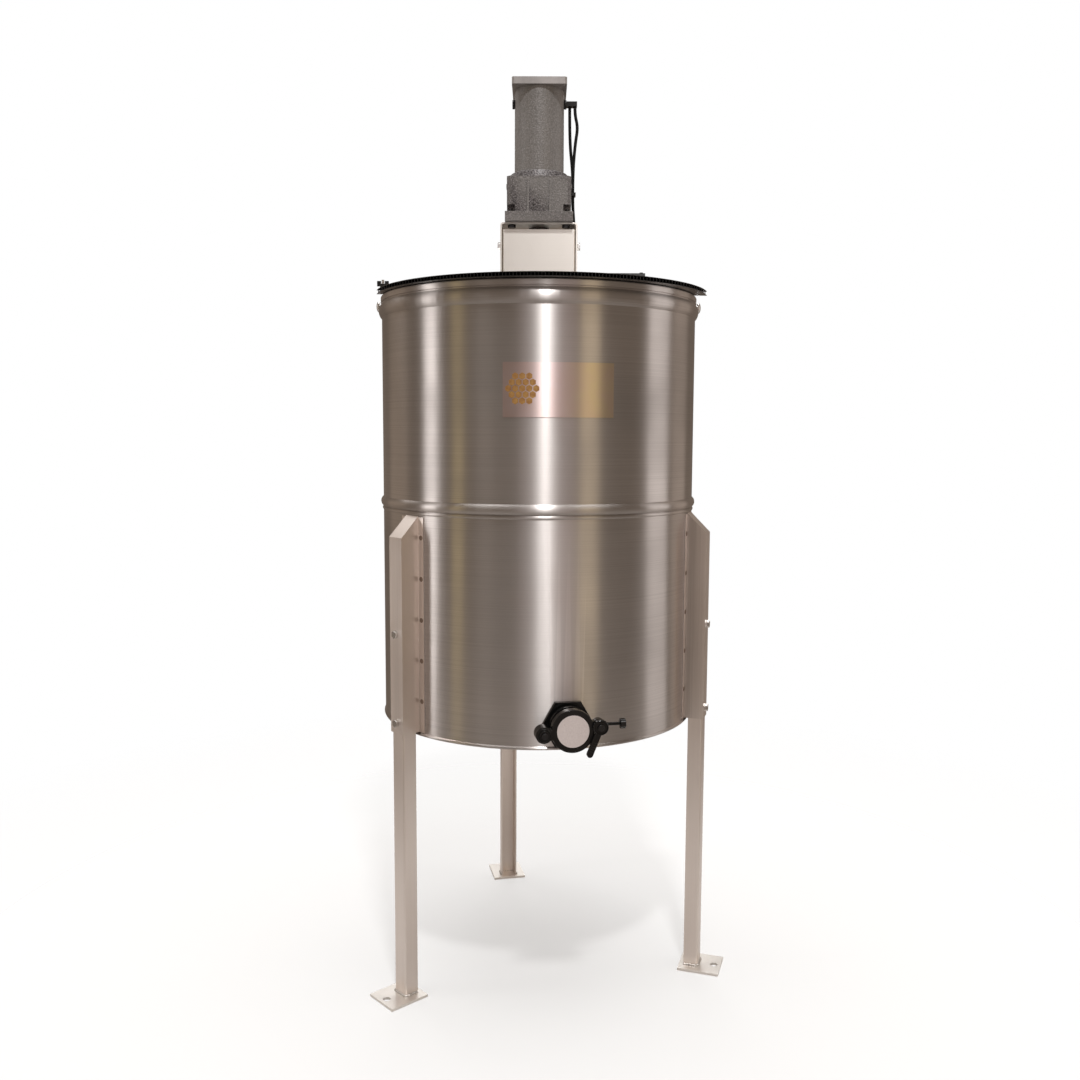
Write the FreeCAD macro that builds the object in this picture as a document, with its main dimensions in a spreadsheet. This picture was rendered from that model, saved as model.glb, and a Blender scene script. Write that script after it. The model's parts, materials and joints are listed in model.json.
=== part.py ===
import FreeCAD, Part
import math
import os
from collections import namedtuple

import Sketcher

# A radial honey extractor: a stainless tank on three legs, a nine-frame reel on a vertical shaft,
# and a geared motor over the rim. +Z is up, +X runs along the crossbar, and the origin is on the
# floor under the tank's axis. Lengths are in millimetres and angles in degrees.

DIMENSIONS = {
    # tank
    "tank_diameter": 610, "tank_height": 812, "tank_clear": 497, "sheet": 1.5,
    "bead_depth": 6, "mid_bead_height": 418, "top_bead_drop": 27, "seam": 5,
    "cone_rise": 40, "cone_flat": 60,
    # legs
    "leg_azimuth": -18, "pocket_width": 38, "pocket_depth": 38, "pocket_top": 404, "flange_angle": 2.8,
    "leg_width": 34.4, "leg_depth": 28, "leg_sheet": 3, "leg_top": 710, "bolt_low": 26, "bolt_pitch": 164,
    "foot_inner": 304, "foot_length": 80, "foot_width": 73, "foot_thick": 5, "foot_hole": 14,
    "foot_hole_reach": 371,
    # lids, crossbar and motor bracket
    "lid_diameter": 644, "lid_shift": 6, "lid_thick": 8, "hinge_offset": 75, "hinge_rise": 2,
    "crossbar_depth": 34, "bracket_width": 147, "bracket_height": 132, "bracket_depth": 100, "plate": 3,
    "guard_drop": 13,
    # reel
    "shaft_diameter": 25.4, "reel_bottom": 697, "reel_height": 470, "reel_diameter": 570, "frame_count": 9,
    "frame_slot": 21, "comb_slot": 30, "hoop_height": 20, "hub_radius": 44, "guide_reach": 62,
    # drive
    "gear_module": 1.25, "wheel_teeth": 35, "pinion_teeth": 14, "output_diameter": 19,
    "gearbox_width": 122, "gearbox_height": 84, "adapter_height": 13,
    "motor_diameter": 95, "motor_length": 157, "cap_width": 104, "cap_thick": 13,
    # gate
    "gate_azimuth": -80, "gate_height": 545, "gate_bore": 48, "gate_face": 48, "pivot_reach": 50,
    # running clearance of a shaft in its bore
    "running": 0.05,
}

doc = FreeCAD.newDocument("honey_extractor")
sheet = doc.addObject("Spreadsheet::Sheet", "dims")
for row, (alias, number) in enumerate(DIMENSIONS.items(), start=1):
    sheet.set(f"A{row}", alias)
    sheet.set(f"B{row}", str(number))
    sheet.setAlias(f"B{row}", alias)
doc.recompute()

ALONG = {
    "x": FreeCAD.Rotation(FreeCAD.Vector(0, 1, 0), 90),
    "y": FreeCAD.Rotation(FreeCAD.Vector(1, 0, 0), -90),
    "z": FreeCAD.Rotation(),
}
Circle = namedtuple("Circle", "radius x y")
nodes = []


class Size:
    """A number together with the sheet formula that it comes from."""

    def __init__(self, value, formula):
        self.value = float(value)
        self.formula = formula

    def __add__(self, other):
        other = size(other)
        return Size(self.value + other.value, f"({self.formula} + {other.formula})")

    def __sub__(self, other):
        other = size(other)
        return Size(self.value - other.value, f"({self.formula} - {other.formula})")

    def __mul__(self, other):
        other = size(other)
        return Size(self.value * other.value, f"({self.formula} * {other.formula})")

    def __truediv__(self, other):
        other = size(other)
        return Size(self.value / other.value, f"({self.formula} / {other.formula})")

    def __neg__(self):
        return Size(-self.value, f"(-1 * {self.formula})")

    def __radd__(self, other):
        return size(other) + self

    def __rsub__(self, other):
        return size(other) - self

    def __rmul__(self, other):
        return size(other) * self

    def __rtruediv__(self, other):
        return size(other) / self


def size(number):
    """The number as a Size, whether or not it is one already."""
    return number if isinstance(number, Size) else Size(number, f"({number})")


def cell(alias):
    """The sheet's cell of that alias as a Size."""
    return Size(sheet.get(alias), f"dims.{alias}")


def cosine(angle):
    """The cosine of an angle in degrees."""
    angle = size(angle)
    return Size(math.cos(math.radians(angle.value)), f"cos({angle.formula} * 1 deg)")


def sine(angle):
    """The sine of an angle in degrees."""
    angle = size(angle)
    return Size(math.sin(math.radians(angle.value)), f"sin({angle.formula} * 1 deg)")


def bind(obj, prop, number):
    """Set a property from a Size, so that it follows the sheet."""
    obj.setExpression(prop, size(number).formula)


def place(obj, x=0, y=0, z=0, along="z", turn=None):
    """Put an object at a point, laid along an axis or turned about +Z."""
    obj.Placement = FreeCAD.Placement(FreeCAD.Vector(), ALONG[along])
    for axis, number in zip("xyz", (x, y, z)):
        bind(obj, f"Placement.Base.{axis}", number)
    if turn is not None:
        obj.Placement.Rotation = FreeCAD.Rotation(FreeCAD.Vector(0, 0, 1), 0)
        bind(obj, "Placement.Rotation.Angle", turn)
    return obj


def node(label, obj):
    """Make an object a sub-part of the extractor under its own label."""
    obj.Label = label
    nodes.append(obj)
    return obj


# ---- primitives and booleans -------------------------------------------------------------------


def block(name, x, y, z):
    """A box between two bounds along each axis."""
    obj = doc.addObject("Part::Box", name)
    for prop, (low, high) in zip(("Length", "Width", "Height"), (x, y, z)):
        bind(obj, prop, size(high) - low)
    return place(obj, x[0], y[0], z[0])


def rod(name, radius, length, x=0, y=0, z=0, along="z"):
    """A cylinder that starts at a point and runs along an axis."""
    obj = doc.addObject("Part::Cylinder", name)
    bind(obj, "Radius", radius)
    bind(obj, "Height", length)
    return place(obj, x, y, z, along)


def taper(name, low_radius, high_radius, length, x=0, y=0, z=0, along="z"):
    """A cone frustum that starts at a point and runs along an axis."""
    obj = doc.addObject("Part::Cone", name)
    bind(obj, "Radius1", low_radius)
    bind(obj, "Radius2", high_radius)
    bind(obj, "Height", length)
    return place(obj, x, y, z, along)


def hexagon(name, radius, length, x=0, y=0, z=0, along="z"):
    """A hexagonal prism, sized by its corner radius, that runs along an axis."""
    obj = doc.addObject("Part::Prism", name)
    obj.Polygon = 6
    bind(obj, "Circumradius", radius)
    bind(obj, "Height", length)
    return place(obj, x, y, z, along)


def join(name, *parts):
    """The union of several objects."""
    obj = doc.addObject("Part::MultiFuse", name)
    obj.Shapes = list(parts)
    return obj


def cut(name, base, *tools):
    """An object less one or more others."""
    obj = doc.addObject("Part::Cut", name)
    obj.Base = base
    obj.Tool = tools[0] if len(tools) == 1 else join(f"{name}_tools", *tools)
    return obj


def common(name, first, second):
    """What two objects share."""
    obj = doc.addObject("Part::Common", name)
    obj.Base = first
    obj.Tool = second
    return obj


def group(name, parts):
    """Several separate solids held as one object."""
    obj = doc.addObject("Part::Compound", name)
    obj.Links = list(parts)
    return obj


def swing(obj, turn):
    """An object turned about +Z as a whole."""
    return place(group(f"{obj.Name}_turned", [obj]), turn=turn)


def tube(name, outer, inner, length, x=0, y=0, z=0, along="z"):
    """A round tube that starts at a point and runs along an axis."""
    shell = rod(f"{name}_outside", outer, length, x, y, z, along)
    hollow = rod(f"{name}_inside", inner, length, x, y, z, along)
    return cut(name, shell, hollow)


# ---- bodies made from sketches ------------------------------------------------------------------


def arc_between(start, end, radius):
    """The shorter arc from start to end, and whether it runs anticlockwise (radius above zero)."""
    chord = end - start
    half = chord.Length / 2
    across = FreeCAD.Vector(-chord.y, chord.x, 0).normalize()
    rise = math.sqrt(max(radius * radius - half * half, 0))
    center = start + chord / 2 + across * math.copysign(rise, radius)
    angles = [math.atan2(p.y - center.y, p.x - center.x) for p in (start, end)]
    low, high = angles if radius > 0 else angles[::-1]
    if high < low:
        high += 2 * math.pi
    return Part.ArcOfCircle(Part.Circle(center, FreeCAD.Vector(0, 0, 1), abs(radius)), low, high)


def constrain(drawing, kind, number, *elements):
    """Add a dimension to a sketch and bind it to the sheet."""
    index = drawing.addConstraint(Sketcher.Constraint(kind, *elements, number.value))
    bind(drawing, f"Constraints[{index}]", number)


def locate(drawing, side, point, x, y):
    """Fix a point of a sketch's side at its distances from the origin."""
    constrain(drawing, "DistanceX", size(x), -1, 1, side, point)
    constrain(drawing, "DistanceY", size(y), -1, 1, side, point)


def draw_circle(drawing, circle):
    """Draw a full circle."""
    center = FreeCAD.Vector(size(circle.x).value, size(circle.y).value, 0)
    radius = size(circle.radius)
    side = drawing.addGeometry(Part.Circle(center, FreeCAD.Vector(0, 0, 1), radius.value), False)
    constrain(drawing, "Radius", radius, side)
    locate(drawing, side, 3, circle.x, circle.y)


def draw_outline(drawing, points):
    """Draw a closed outline of (x, y) or (x, y, radius) points; a radius bends the side that follows.

    A radius above zero bends that side anticlockwise, below zero clockwise.
    """
    corners = [tuple(size(number) for number in point) for point in points]
    vectors = [FreeCAD.Vector(corner[0].value, corner[1].value, 0) for corner in corners]
    ends = []
    for index, corner in enumerate(corners):
        start = vectors[index]
        end = vectors[(index + 1) % len(corners)]
        if len(corner) == 3:
            turns_left = corner[2].value > 0
            side = drawing.addGeometry(arc_between(start, end, corner[2].value), False)
            ends.append((side, 1, 2) if turns_left else (side, 2, 1))
            constrain(drawing, "Radius", corner[2] if turns_left else -corner[2], side)
        else:
            side = drawing.addGeometry(Part.LineSegment(start, end), False)
            ends.append((side, 1, 2))
    for index, (side, _, last) in enumerate(ends):
        follower, first, _ = ends[(index + 1) % len(ends)]
        drawing.addConstraint(Sketcher.Constraint("Coincident", side, last, follower, first))
    for corner, (side, first, _) in zip(corners, ends):
        locate(drawing, side, first, corner[0], corner[1])


def sketch(body, name, plane, outline, offset=0):
    """A sketch of a circle or an outline on one of a body's origin planes, raised by an offset."""
    drawing = body.newObject("Sketcher::SketchObject", name)
    support = [item for item in body.Origin.OriginFeatures if item.Role == f"{plane}_Plane"][0]
    drawing.AttachmentSupport = (support, [""])
    drawing.MapMode = "FlatFace"
    bind(drawing, "AttachmentOffset.Base.z", offset)
    if isinstance(outline, Circle):
        draw_circle(drawing, outline)
    else:
        draw_outline(drawing, outline)
    return drawing


def new_body(name):
    """An empty PartDesign body."""
    return doc.addObject("PartDesign::Body", name)


def turned(name, points):
    """A body turned about +Z from an outline of (radius, height) points."""
    body = new_body(name)
    profile = sketch(body, f"{name}_profile", "XZ", points)
    turn = body.newObject("PartDesign::Revolution", f"{name}_turn")
    turn.Profile = (profile, [""])
    turn.ReferenceAxis = (profile, ["V_Axis"])
    turn.Angle = 360
    body.Tip = turn
    return body


def pad(body, name, plane, outline, length, offset=0, both_ways=False):
    """Add a padded outline to a body."""
    profile = sketch(body, f"{name}_outline", plane, outline, offset)
    feature = body.newObject("PartDesign::Pad", name)
    feature.Profile = (profile, [""])
    feature.SideType = "Symmetric" if both_ways else "One side"
    bind(feature, "Length", length)
    body.Tip = feature
    return feature


def pocket(body, name, plane, outline, length, offset=0, both_ways=False, reverse=False):
    """Take a padded outline away from a body."""
    profile = sketch(body, f"{name}_outline", plane, outline, offset)
    feature = body.newObject("PartDesign::Pocket", name)
    feature.Profile = (profile, [""])
    feature.SideType = "Symmetric" if both_ways else "One side"
    feature.Reversed = reverse
    bind(feature, "Length", length)
    body.Tip = feature
    return feature


def round_holes(body, name, plane, radius, centers, depth, offset=0, reverse=False):
    """Round holes through a body, square to a plane."""
    for index, (x, y) in enumerate(centers):
        pocket(body, f"{name}_{index}", plane, Circle(radius, x, y), depth, offset, reverse=reverse)


def polar(body, feature, count):
    """Repeat a feature evenly about +Z."""
    pattern = body.newObject("PartDesign::PolarPattern", f"{feature.Name}_ring")
    axis = [item for item in body.Origin.OriginFeatures if item.Role == "Z_Axis"][0]
    pattern.Originals = [feature]
    pattern.Axis = (axis, [""])
    pattern.Angle = 360
    bind(pattern, "Occurrences", count)
    body.Tip = pattern
    return pattern


# ---- fasteners ----------------------------------------------------------------------------------


def hex_bolt(name, shank, length, x=0, y=0, z=0, along="z", head_first=False):
    """A hex bolt: its shank starts at the point, with the head before or after it along the axis."""
    offset = {"x": (1, 0, 0), "y": (0, 1, 0), "z": (0, 0, 1)}[along]
    head_height = shank * 1.4
    step = -head_height if head_first else size(length)
    head_at = [size(base) + step * part for base, part in zip((x, y, z), offset)]
    head = hexagon(f"{name}_head", shank * 1.9, head_height, *head_at, along=along)
    body = rod(f"{name}_shank", shank, length, x, y, z, along)
    return join(name, head, body)


def hex_nut(name, shank, height, x=0, y=0, z=0, along="z"):
    """A hex nut around a shank."""
    return cut(name, hexagon(f"{name}_blank", shank * 1.9, height, x, y, z, along),
               rod(f"{name}_bore", shank, height, x, y, z, along))


# ---- sizes shared by several sub-parts ----------------------------------------------------------

running = cell("running")
sheet_thick = cell("sheet")
wall = cell("tank_diameter") / 2
inside = wall - sheet_thick
pocket_face = wall - 0.3 + cell("pocket_depth")
tank_bottom = cell("tank_clear")
rim = tank_bottom + cell("tank_height")
lid_low = rim + 1
deck = lid_low + cell("lid_thick")
plate = cell("plate")
bracket_top = deck + cell("bracket_height")
gearbox_top = bracket_top + cell("gearbox_height")
motor_low = gearbox_top + cell("adapter_height")
motor_top = motor_low + cell("motor_length")
shaft = cell("shaft_diameter") / 2
output = cell("output_diameter") / 2
reel_low = cell("reel_bottom")
reel_top = reel_low + cell("reel_height")
reel_radius = cell("reel_diameter") / 2
cone_top = tank_bottom + 3 + cell("cone_rise") + sheet_thick
half_bar = cell("hinge_offset") - 3
box_level = deck + 19
leg_bolt_levels = (tank_bottom + cell("bolt_low"), tank_bottom + cell("bolt_low") + cell("bolt_pitch"))
leg_turns = {
    "right": cell("leg_azimuth"),
    "left": cell("leg_azimuth") - 120,
    "rear": cell("leg_azimuth") + 120,
}


# ---- tank ---------------------------------------------------------------------------------------


def bulge_radius(chord, depth):
    """The radius of an arc over a chord that bulges by a depth."""
    return (size(chord) * chord / 4 + size(depth) * depth) / (size(depth) * 2)


def make_tank_wall():
    """The rolled wall: bottom seam, middle bead with its shoulder, top bead and a plain rim band."""
    middle = tank_bottom + cell("mid_bead_height")
    upper = rim - cell("top_bead_drop")
    bead = cell("bead_depth")
    seam = cell("seam")
    rolled = turned("tank_wall_rolled", [
        (inside, tank_bottom), (wall + 1, tank_bottom, bulge_radius(seam, 1.5)),
        (wall + 1, tank_bottom + seam), (wall, tank_bottom + seam + 1),
        (wall, middle - 13, bulge_radius(7, 2)), (wall, middle - 6, bulge_radius(19, bead - 1)),
        (wall, middle + 13),
        (wall, upper - 14, bulge_radius(28, bead)), (wall, upper + 14),
        (wall, rim - 11), (wall + 2, rim - 10), (wall + 2, rim - 1.5), (wall + 1, rim), (inside, rim),
    ])
    opening = rod("gate_opening", 29.5, 60, 270, 0, cell("gate_height"), "x")
    opening = swing(opening, cell("gate_azimuth"))
    bolt_holes = rod("rim_bolt_holes", 5.1, wall * 2 + 40, -wall - 20, 0, deck - 22, "x")
    node("tank_wall", cut("tank_wall", rolled, opening, bolt_holes))


def make_tank_floor():
    """A low cone rising to the centre, with a lip up the wall, and the bearing cup and ball on it."""
    low = tank_bottom + 3
    rise = cell("cone_rise")
    flat = cell("cone_flat") / 2
    edge = inside - 0.3
    node("tank_bottom", turned("tank_bottom", [
        (0, low + rise), (flat, low + rise), (edge - 4, low), (edge, low), (edge, low + 12),
        (edge - sheet_thick, low + 12), (edge - sheet_thick, low + sheet_thick),
        (edge - 4, low + sheet_thick), (flat, cone_top), (0, cone_top),
    ]))
    bore = shaft + running
    node("bottom_cup", turned("bottom_cup", [
        (0, cone_top), (24, cone_top), (24, cone_top + 4), (19, cone_top + 6), (19, cone_top + 46),
        (bore, cone_top + 46), (bore, cone_top + 7), (0, cone_top + 7),
    ]))
    ball = doc.addObject("Part::Sphere", "bottom_ball")
    bind(ball, "Radius", 8)
    node("bottom_ball", place(ball, z=cone_top + 15))


def make_label():
    """The curved label on the front of the wall."""
    sweep = 18.3
    middle = -83
    body = new_body("tank_label")
    radius = wall + 0.2
    outer = wall + 0.6
    ends = [(r * cosine(angle), r * sine(angle))
            for r, angle in ((radius, middle - sweep), (radius, middle + sweep),
                             (outer, middle + sweep), (outer, middle - sweep))]
    pad(body, "label_band", "XY", [
        (*ends[0], radius), ends[1], (*ends[2], -outer), ends[3],
    ], 93, 1077)
    node("tank_label", body)


# ---- legs ---------------------------------------------------------------------------------------


def leg_pocket(side, turn):
    """A hat-section leg pocket: channel, sloping cap and the two flanges that lie on the wall."""
    half = cell("pocket_width") / 2
    inner = wall + 0.1
    outer = pocket_face
    low = tank_bottom + cell("seam") + 2
    high = tank_bottom + cell("pocket_top")
    slope = cell("pocket_depth")
    t = sheet_thick
    body = new_body(f"leg_pocket_{side}")
    pad(body, f"channel_{side}", "XZ", [
        (inner, low), (outer, low), (outer, high - slope), (inner, high),
    ], half * 2, both_ways=True)
    pocket(body, f"hollow_{side}", "XZ", [
        (inner - 1, low - 1), (outer - t, low - 1), (outer - t, high - slope - t * 0.6),
        (inner - 1, high - t * 1.4 + 1),
    ], (half - t) * 2, both_ways=True)
    near = wall + 0.2
    far = near + t
    for sign in (-1, 1):
        start = size(3.3 * sign)
        stop = start + sign * cell("flange_angle")
        pad(body, f"flange_{side}_{'left' if sign < 0 else 'right'}", "XY", [
            (near * cosine(start), near * sine(start), near * sign),
            (near * cosine(stop), near * sine(stop)),
            (far * cosine(stop), far * sine(stop), -(far * sign)),
            (far * cosine(start), far * sine(start)),
        ], high - 2 - low, low)
    round_holes(body, f"pocket_hole_{side}", "YZ", 4.1, [(0, z) for z in leg_bolt_levels], 20, outer - 10,
                reverse=True)
    return place(body, turn=turn)


def leg_channel(side, turn):
    """A channel leg, open toward the tank, nested in its pocket."""
    half = cell("leg_width") / 2
    outer = pocket_face - sheet_thick - 0.2
    inner = outer - cell("leg_depth")
    t = cell("leg_sheet")
    bend = 4
    body = new_body(f"leg_{side}")
    pad(body, f"leg_channel_{side}", "XY", [
        (inner, -half), (outer - bend, -half, bend), (outer, bend - half), (outer, half - bend, bend),
        (outer - bend, half), (inner, half), (inner, half - t), (outer - bend, half - t, t - bend),
        (outer - t, half - bend), (outer - t, bend - half, t - bend), (outer - bend, t - half),
        (inner, t - half),
    ], cell("leg_top") - cell("foot_thick"), cell("foot_thick"))
    round_holes(body, f"leg_hole_{side}", "YZ", 4.1, [(0, z) for z in leg_bolt_levels], 20, outer - 10,
                reverse=True)
    return place(body, turn=turn)


def foot_plate(side, turn):
    """The plate under a leg, with its floor bolt hole outside the tank."""
    half = cell("foot_width") / 2
    start = cell("foot_inner")
    stop = start + cell("foot_length")
    body = new_body(f"foot_{side}")
    pad(body, f"foot_sheet_{side}", "XY", [(start, -half), (stop, -half), (stop, half), (start, half)],
        cell("foot_thick"))
    hole = Circle(cell("foot_hole") / 2, cell("foot_hole_reach"), 0)
    pocket(body, f"foot_hole_{side}", "XY", hole, 20, 10)
    return place(body, turn=turn)


def make_legs():
    """Three pockets, legs and foot plates."""
    for label, piece in (("leg_pockets", leg_pocket), ("legs", leg_channel), ("foot_plates", foot_plate)):
        node(label, group(label, [piece(side, turn) for side, turn in leg_turns.items()]))


def leg_fasteners():
    """Two bolts through each pocket and leg, and their nuts inside the leg."""
    web = pocket_face
    back = web - sheet_thick - 0.2 - cell("leg_sheet")
    bolts = []
    nuts = []
    for side, turn in leg_turns.items():
        for i, z in enumerate(leg_bolt_levels):
            bolts.append(swing(hex_bolt(f"leg_bolt_{side}_{i}", 4, 16, web - 16, 0, z, "x"), turn))
            nuts.append(swing(hex_nut(f"leg_nut_{side}_{i}", 4, 6.5, back - 6.6, 0, z, "x"), turn))
    return bolts, nuts


# ---- crossbar, lids and hinges ------------------------------------------------------------------


RIM_BOLT_DROP = 22
BEARING_BOLTS = [(-33, 0), (33, 0)]
BRACKET_FEET = [(x, y) for x in (-58, 58) for y in (-30, 30)]
WING_NUT = (-292, -92)


def make_crossbar():
    """A folded channel across the rim, with end tabs bolted to the wall."""
    t = sheet_thick * 5 / 3
    depth = cell("crossbar_depth")
    reach = inside - 1.2
    shell = cut("crossbar_fold",
                block("crossbar_outside", (-reach, reach), (-half_bar, half_bar), (deck - depth, deck)),
                block("crossbar_inside", (-reach - 1, reach + 1), (t - half_bar, half_bar - t),
                      (deck - depth - 1, deck - t)))
    trimmed = common("crossbar_trimmed", shell, rod("crossbar_round", reach, depth, z=deck - depth))
    tabs = [block(f"crossbar_tab_{i}", (low, low + t), (-17, 17), (deck - depth, deck - 1))
            for i, low in enumerate((-reach + 0.6, reach - 0.6 - t))]
    level = deck - RIM_BOLT_DROP
    holes = [rod("crossbar_bolt_hole", 5.1, reach * 2 + 10, -reach - 5, 0, level, "x"),
             rod("crossbar_shaft_hole", shaft + 4, 20, z=deck - 10)]
    holes += [rod(f"crossbar_screw_hole_{i}", 4.1, 20, *xy, deck - 10)
              for i, xy in enumerate(BEARING_BOLTS + BRACKET_FEET)]
    node("crossbar", cut("crossbar", join("crossbar_welded", trimmed, *tabs), *holes))

    bolts = []
    nuts = []
    for i, turn in enumerate((0, 180)):
        dome = taper(f"rim_bolt_dome_{i}", 11, 6, 5, wall + 8.5, 0, level, "x")
        collar = rod(f"rim_bolt_collar_{i}", 11, 2, wall + 6.5, 0, level, "x")
        shank = rod(f"rim_bolt_shank_{i}", 5, 30, wall - 22, 0, level, "x")
        bolts.append(swing(join(f"rim_bolt_{i}", dome, collar, shank), turn))
        nuts.append(swing(hex_nut(f"rim_nut_{i}", 5, 8, reach - 0.7 - t - 8, 0, level, "x"), turn))
    node("rim_bolts", group("rim_bolts", bolts))
    nuts += [hex_nut(f"deck_nut_{i}", 4, 6.5, *xy, deck - t - 6.6)
             for i, xy in enumerate(BEARING_BOLTS + BRACKET_FEET)]
    return nuts


def make_top_bearing():
    """The flanged bearing on the crossbar that the reel's shaft runs in."""
    bore = shaft + running
    housing = turned("top_bearing_body", [
        (bore, deck), (40, deck), (40, deck + 8), (25, deck + 8), (24, deck + 26), (bore, deck + 26),
    ])
    holes = [rod(f"bearing_hole_{i}", 4.1, 12, *xy, deck - 1) for i, xy in enumerate(BEARING_BOLTS)]
    node("top_bearing", cut("top_bearing", housing, *holes))
    return [hex_bolt(f"bearing_bolt_{i}", 4, 20, *xy, deck - 12) for i, xy in enumerate(BEARING_BOLTS)]


def make_lid(side, sign):
    """A half-round lid of twin-wall sheet that lies on the rim and overhangs it."""
    radius = cell("lid_diameter") / 2
    edge = cell("hinge_offset") + 5
    disc = rod(f"{side}_lid_disc", radius, cell("lid_thick"), cell("lid_shift"), 0, lid_low)
    bounds = (edge, radius + 1) if sign > 0 else (-radius - 1, -edge)
    half = block(f"{side}_lid_half", (-radius - 10, radius + 20), bounds, (lid_low - 1, deck + 1))
    node(f"{side}_lid", common(f"{side}_lid", disc, half))


def ordered(first, second):
    """Two sizes, the lower one first."""
    return (first, second) if size(first).value < size(second).value else (second, first)


def hinge_leaf(label, line, width, reach, knuckles, gaps):
    """A leaf on the deck with knuckles around the pin at the line, and notches for the other leaf's."""
    level = deck + cell("hinge_rise")
    edge = line + math.copysign(2, width)
    strip = block(f"{label}_strip", (-reach, reach), ordered(edge, line + width), (deck + 0.05, deck + 1.2))
    barrels = [rod(f"{label}_barrel_{i}", 3.6, high - low, low, line, level, "x")
               for i, (low, high) in enumerate(knuckles)]
    notches = [rod(f"{label}_notch_{i}", 4, high - low, low, line, level, "x")
               for i, (low, high) in enumerate(gaps)]
    bore = rod(f"{label}_bore", 1.6 + running, reach * 2 + 2, -reach - 1, line, level, "x")
    return cut(label, join(f"{label}_folded", strip, *barrels), bore, *notches)


def make_lids():
    """Two lids on strip hinges: fixed leaves and pins on the crossbar, a leaf on each lid."""
    reach = 270
    lid_reach = 299
    third = 90
    outer = [(-reach, -third), (third, reach)]
    outer_gaps = [(-lid_reach - 1, 0.4 - third), (third - 0.4, lid_reach + 1)]
    middle = [(0.4 - third, third - 0.4)]
    fixed = []
    pins = []
    for side, sign in (("front", -1), ("rear", 1)):
        make_lid(side, sign)
        line = cell("hinge_offset") * sign
        fixed.append(hinge_leaf(f"{side}_fixed_leaf", line, -23 * sign, reach, outer, [(-third, third)]))
        leaf = hinge_leaf(f"{side}_leaf_plain", line, 26 * sign, lid_reach, middle, outer_gaps)
        if side == "front":
            leaf = join("front_leaf_with_stud", leaf, rod("lid_stud", 2.5, 16, *WING_NUT, deck + 1))
        node(f"{side}_lid_leaf", leaf)
        pins.append(rod(f"{side}_pin", 1.6, reach * 2, -reach, line, deck + cell("hinge_rise"), "x"))
    node("hinge_fixed_leaves", group("hinge_fixed_leaves", fixed))
    node("hinge_pins", group("hinge_pins", pins))


def make_wing_nut():
    """The wing nut on the stud at the front lid's left corner."""
    x, y = WING_NUT
    hub = tube("wing_hub", 5.5, running + 2.5, 8, x, y, deck + 1.6)
    left = block("wing_left", (x - 11, x - 3.5), (y - 1.2, y + 1.2), (deck + 5, deck + 15))
    right = block("wing_right", (x + 3.5, x + 11), (y - 1.2, y + 1.2), (deck + 5, deck + 15))
    node("lid_wing_nut", join("lid_wing_nut", hub, left, right))


# ---- motor bracket ------------------------------------------------------------------------------

GEARBOX_BOLTS = [(x, y) for x in (-52, 52) for y in (-38, 38)]
GUARD_BOLT = (-36, 1407)


def make_bracket():
    """An inverted U on the crossbar with turned-in feet; the gearbox stands on its top."""
    half = cell("bracket_width") / 2
    top = bracket_top
    bend = 6
    small = bend - plate
    body = new_body("bracket_fold")
    pad(body, "bracket_strip", "XZ", [
        (-half, deck), (-half, top - bend, -bend), (bend - half, top), (half - bend, top, -bend),
        (half, top - bend), (half, deck), (half - 25, deck), (half - 25, deck + plate),
        (half - plate, deck + plate), (half - plate, top - bend, small), (half - bend, top - plate),
        (bend - half, top - plate, small), (plate - half, top - bend), (plate - half, deck + plate),
        (25 - half, deck + plate), (25 - half, deck),
    ], cell("bracket_depth"), both_ways=True)
    y, z = GUARD_BOLT
    holes = [rod(f"bracket_foot_hole_{i}", 4.1, 12, *xy, deck - 2) for i, xy in enumerate(BRACKET_FEET)]
    holes += [rod(f"bracket_top_hole_{i}", 4.1, 12, *xy, top - 8) for i, xy in enumerate(GEARBOX_BOLTS)]
    holes += [rod("bracket_boss_hole", 19.6, 12, z=top - 8),
              rod("bracket_side_hole", 4.1, 200, -100, y, z, "x")]
    node("motor_bracket", cut("motor_bracket", body, *holes))
    bolts = [hex_bolt(f"foot_bolt_{i}", 4, plate + 14, *xy, deck - 14) for i, xy in enumerate(BRACKET_FEET)]
    bolts += [hex_bolt(f"gearbox_bolt_{i}", 4, plate + 14, *xy, top - plate, head_first=True)
              for i, xy in enumerate(GEARBOX_BOLTS)]
    return bolts


def make_guard():
    """The plate that closes the bracket's front over the coupling, bolted through its side flanges."""
    half = cell("bracket_width") / 2 - plate - 0.3
    front = -cell("bracket_depth") / 2
    t = sheet_thick
    bend = 3
    low = deck + plate + 0.3
    body = new_body("guard_fold")
    pad(body, "guard_sheet", "XY", [
        (-half, front + 26), (-half, front + bend, bend), (bend - half, front), (half - bend, front, bend),
        (half, front + bend), (half, front + 26), (half - t, front + 26), (half - t, front + bend, t - bend),
        (half - bend, front + t), (bend - half, front + t, t - bend), (t - half, front + bend),
        (t - half, front + 26),
    ], bracket_top - cell("guard_drop") - low, low)
    y, z = GUARD_BOLT
    node("guard_plate", cut("guard_plate", body, rod("guard_hole", 4.1, 200, -100, y, z, "x")))
    outer = cell("bracket_width") / 2
    bolts = [hex_bolt("guard_bolt_right", 4, 14, outer - 14, y, z, "x"),
             hex_bolt("guard_bolt_left", 4, 14, -outer, y, z, "x", head_first=True)]
    nuts = [hex_nut("guard_nut_right", 4, 6, half - t - 6.1, y, z, "x"),
            hex_nut("guard_nut_left", 4, 6, t - half + 0.1, y, z, "x")]
    return bolts, nuts


# ---- gearbox ------------------------------------------------------------------------------------


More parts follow.
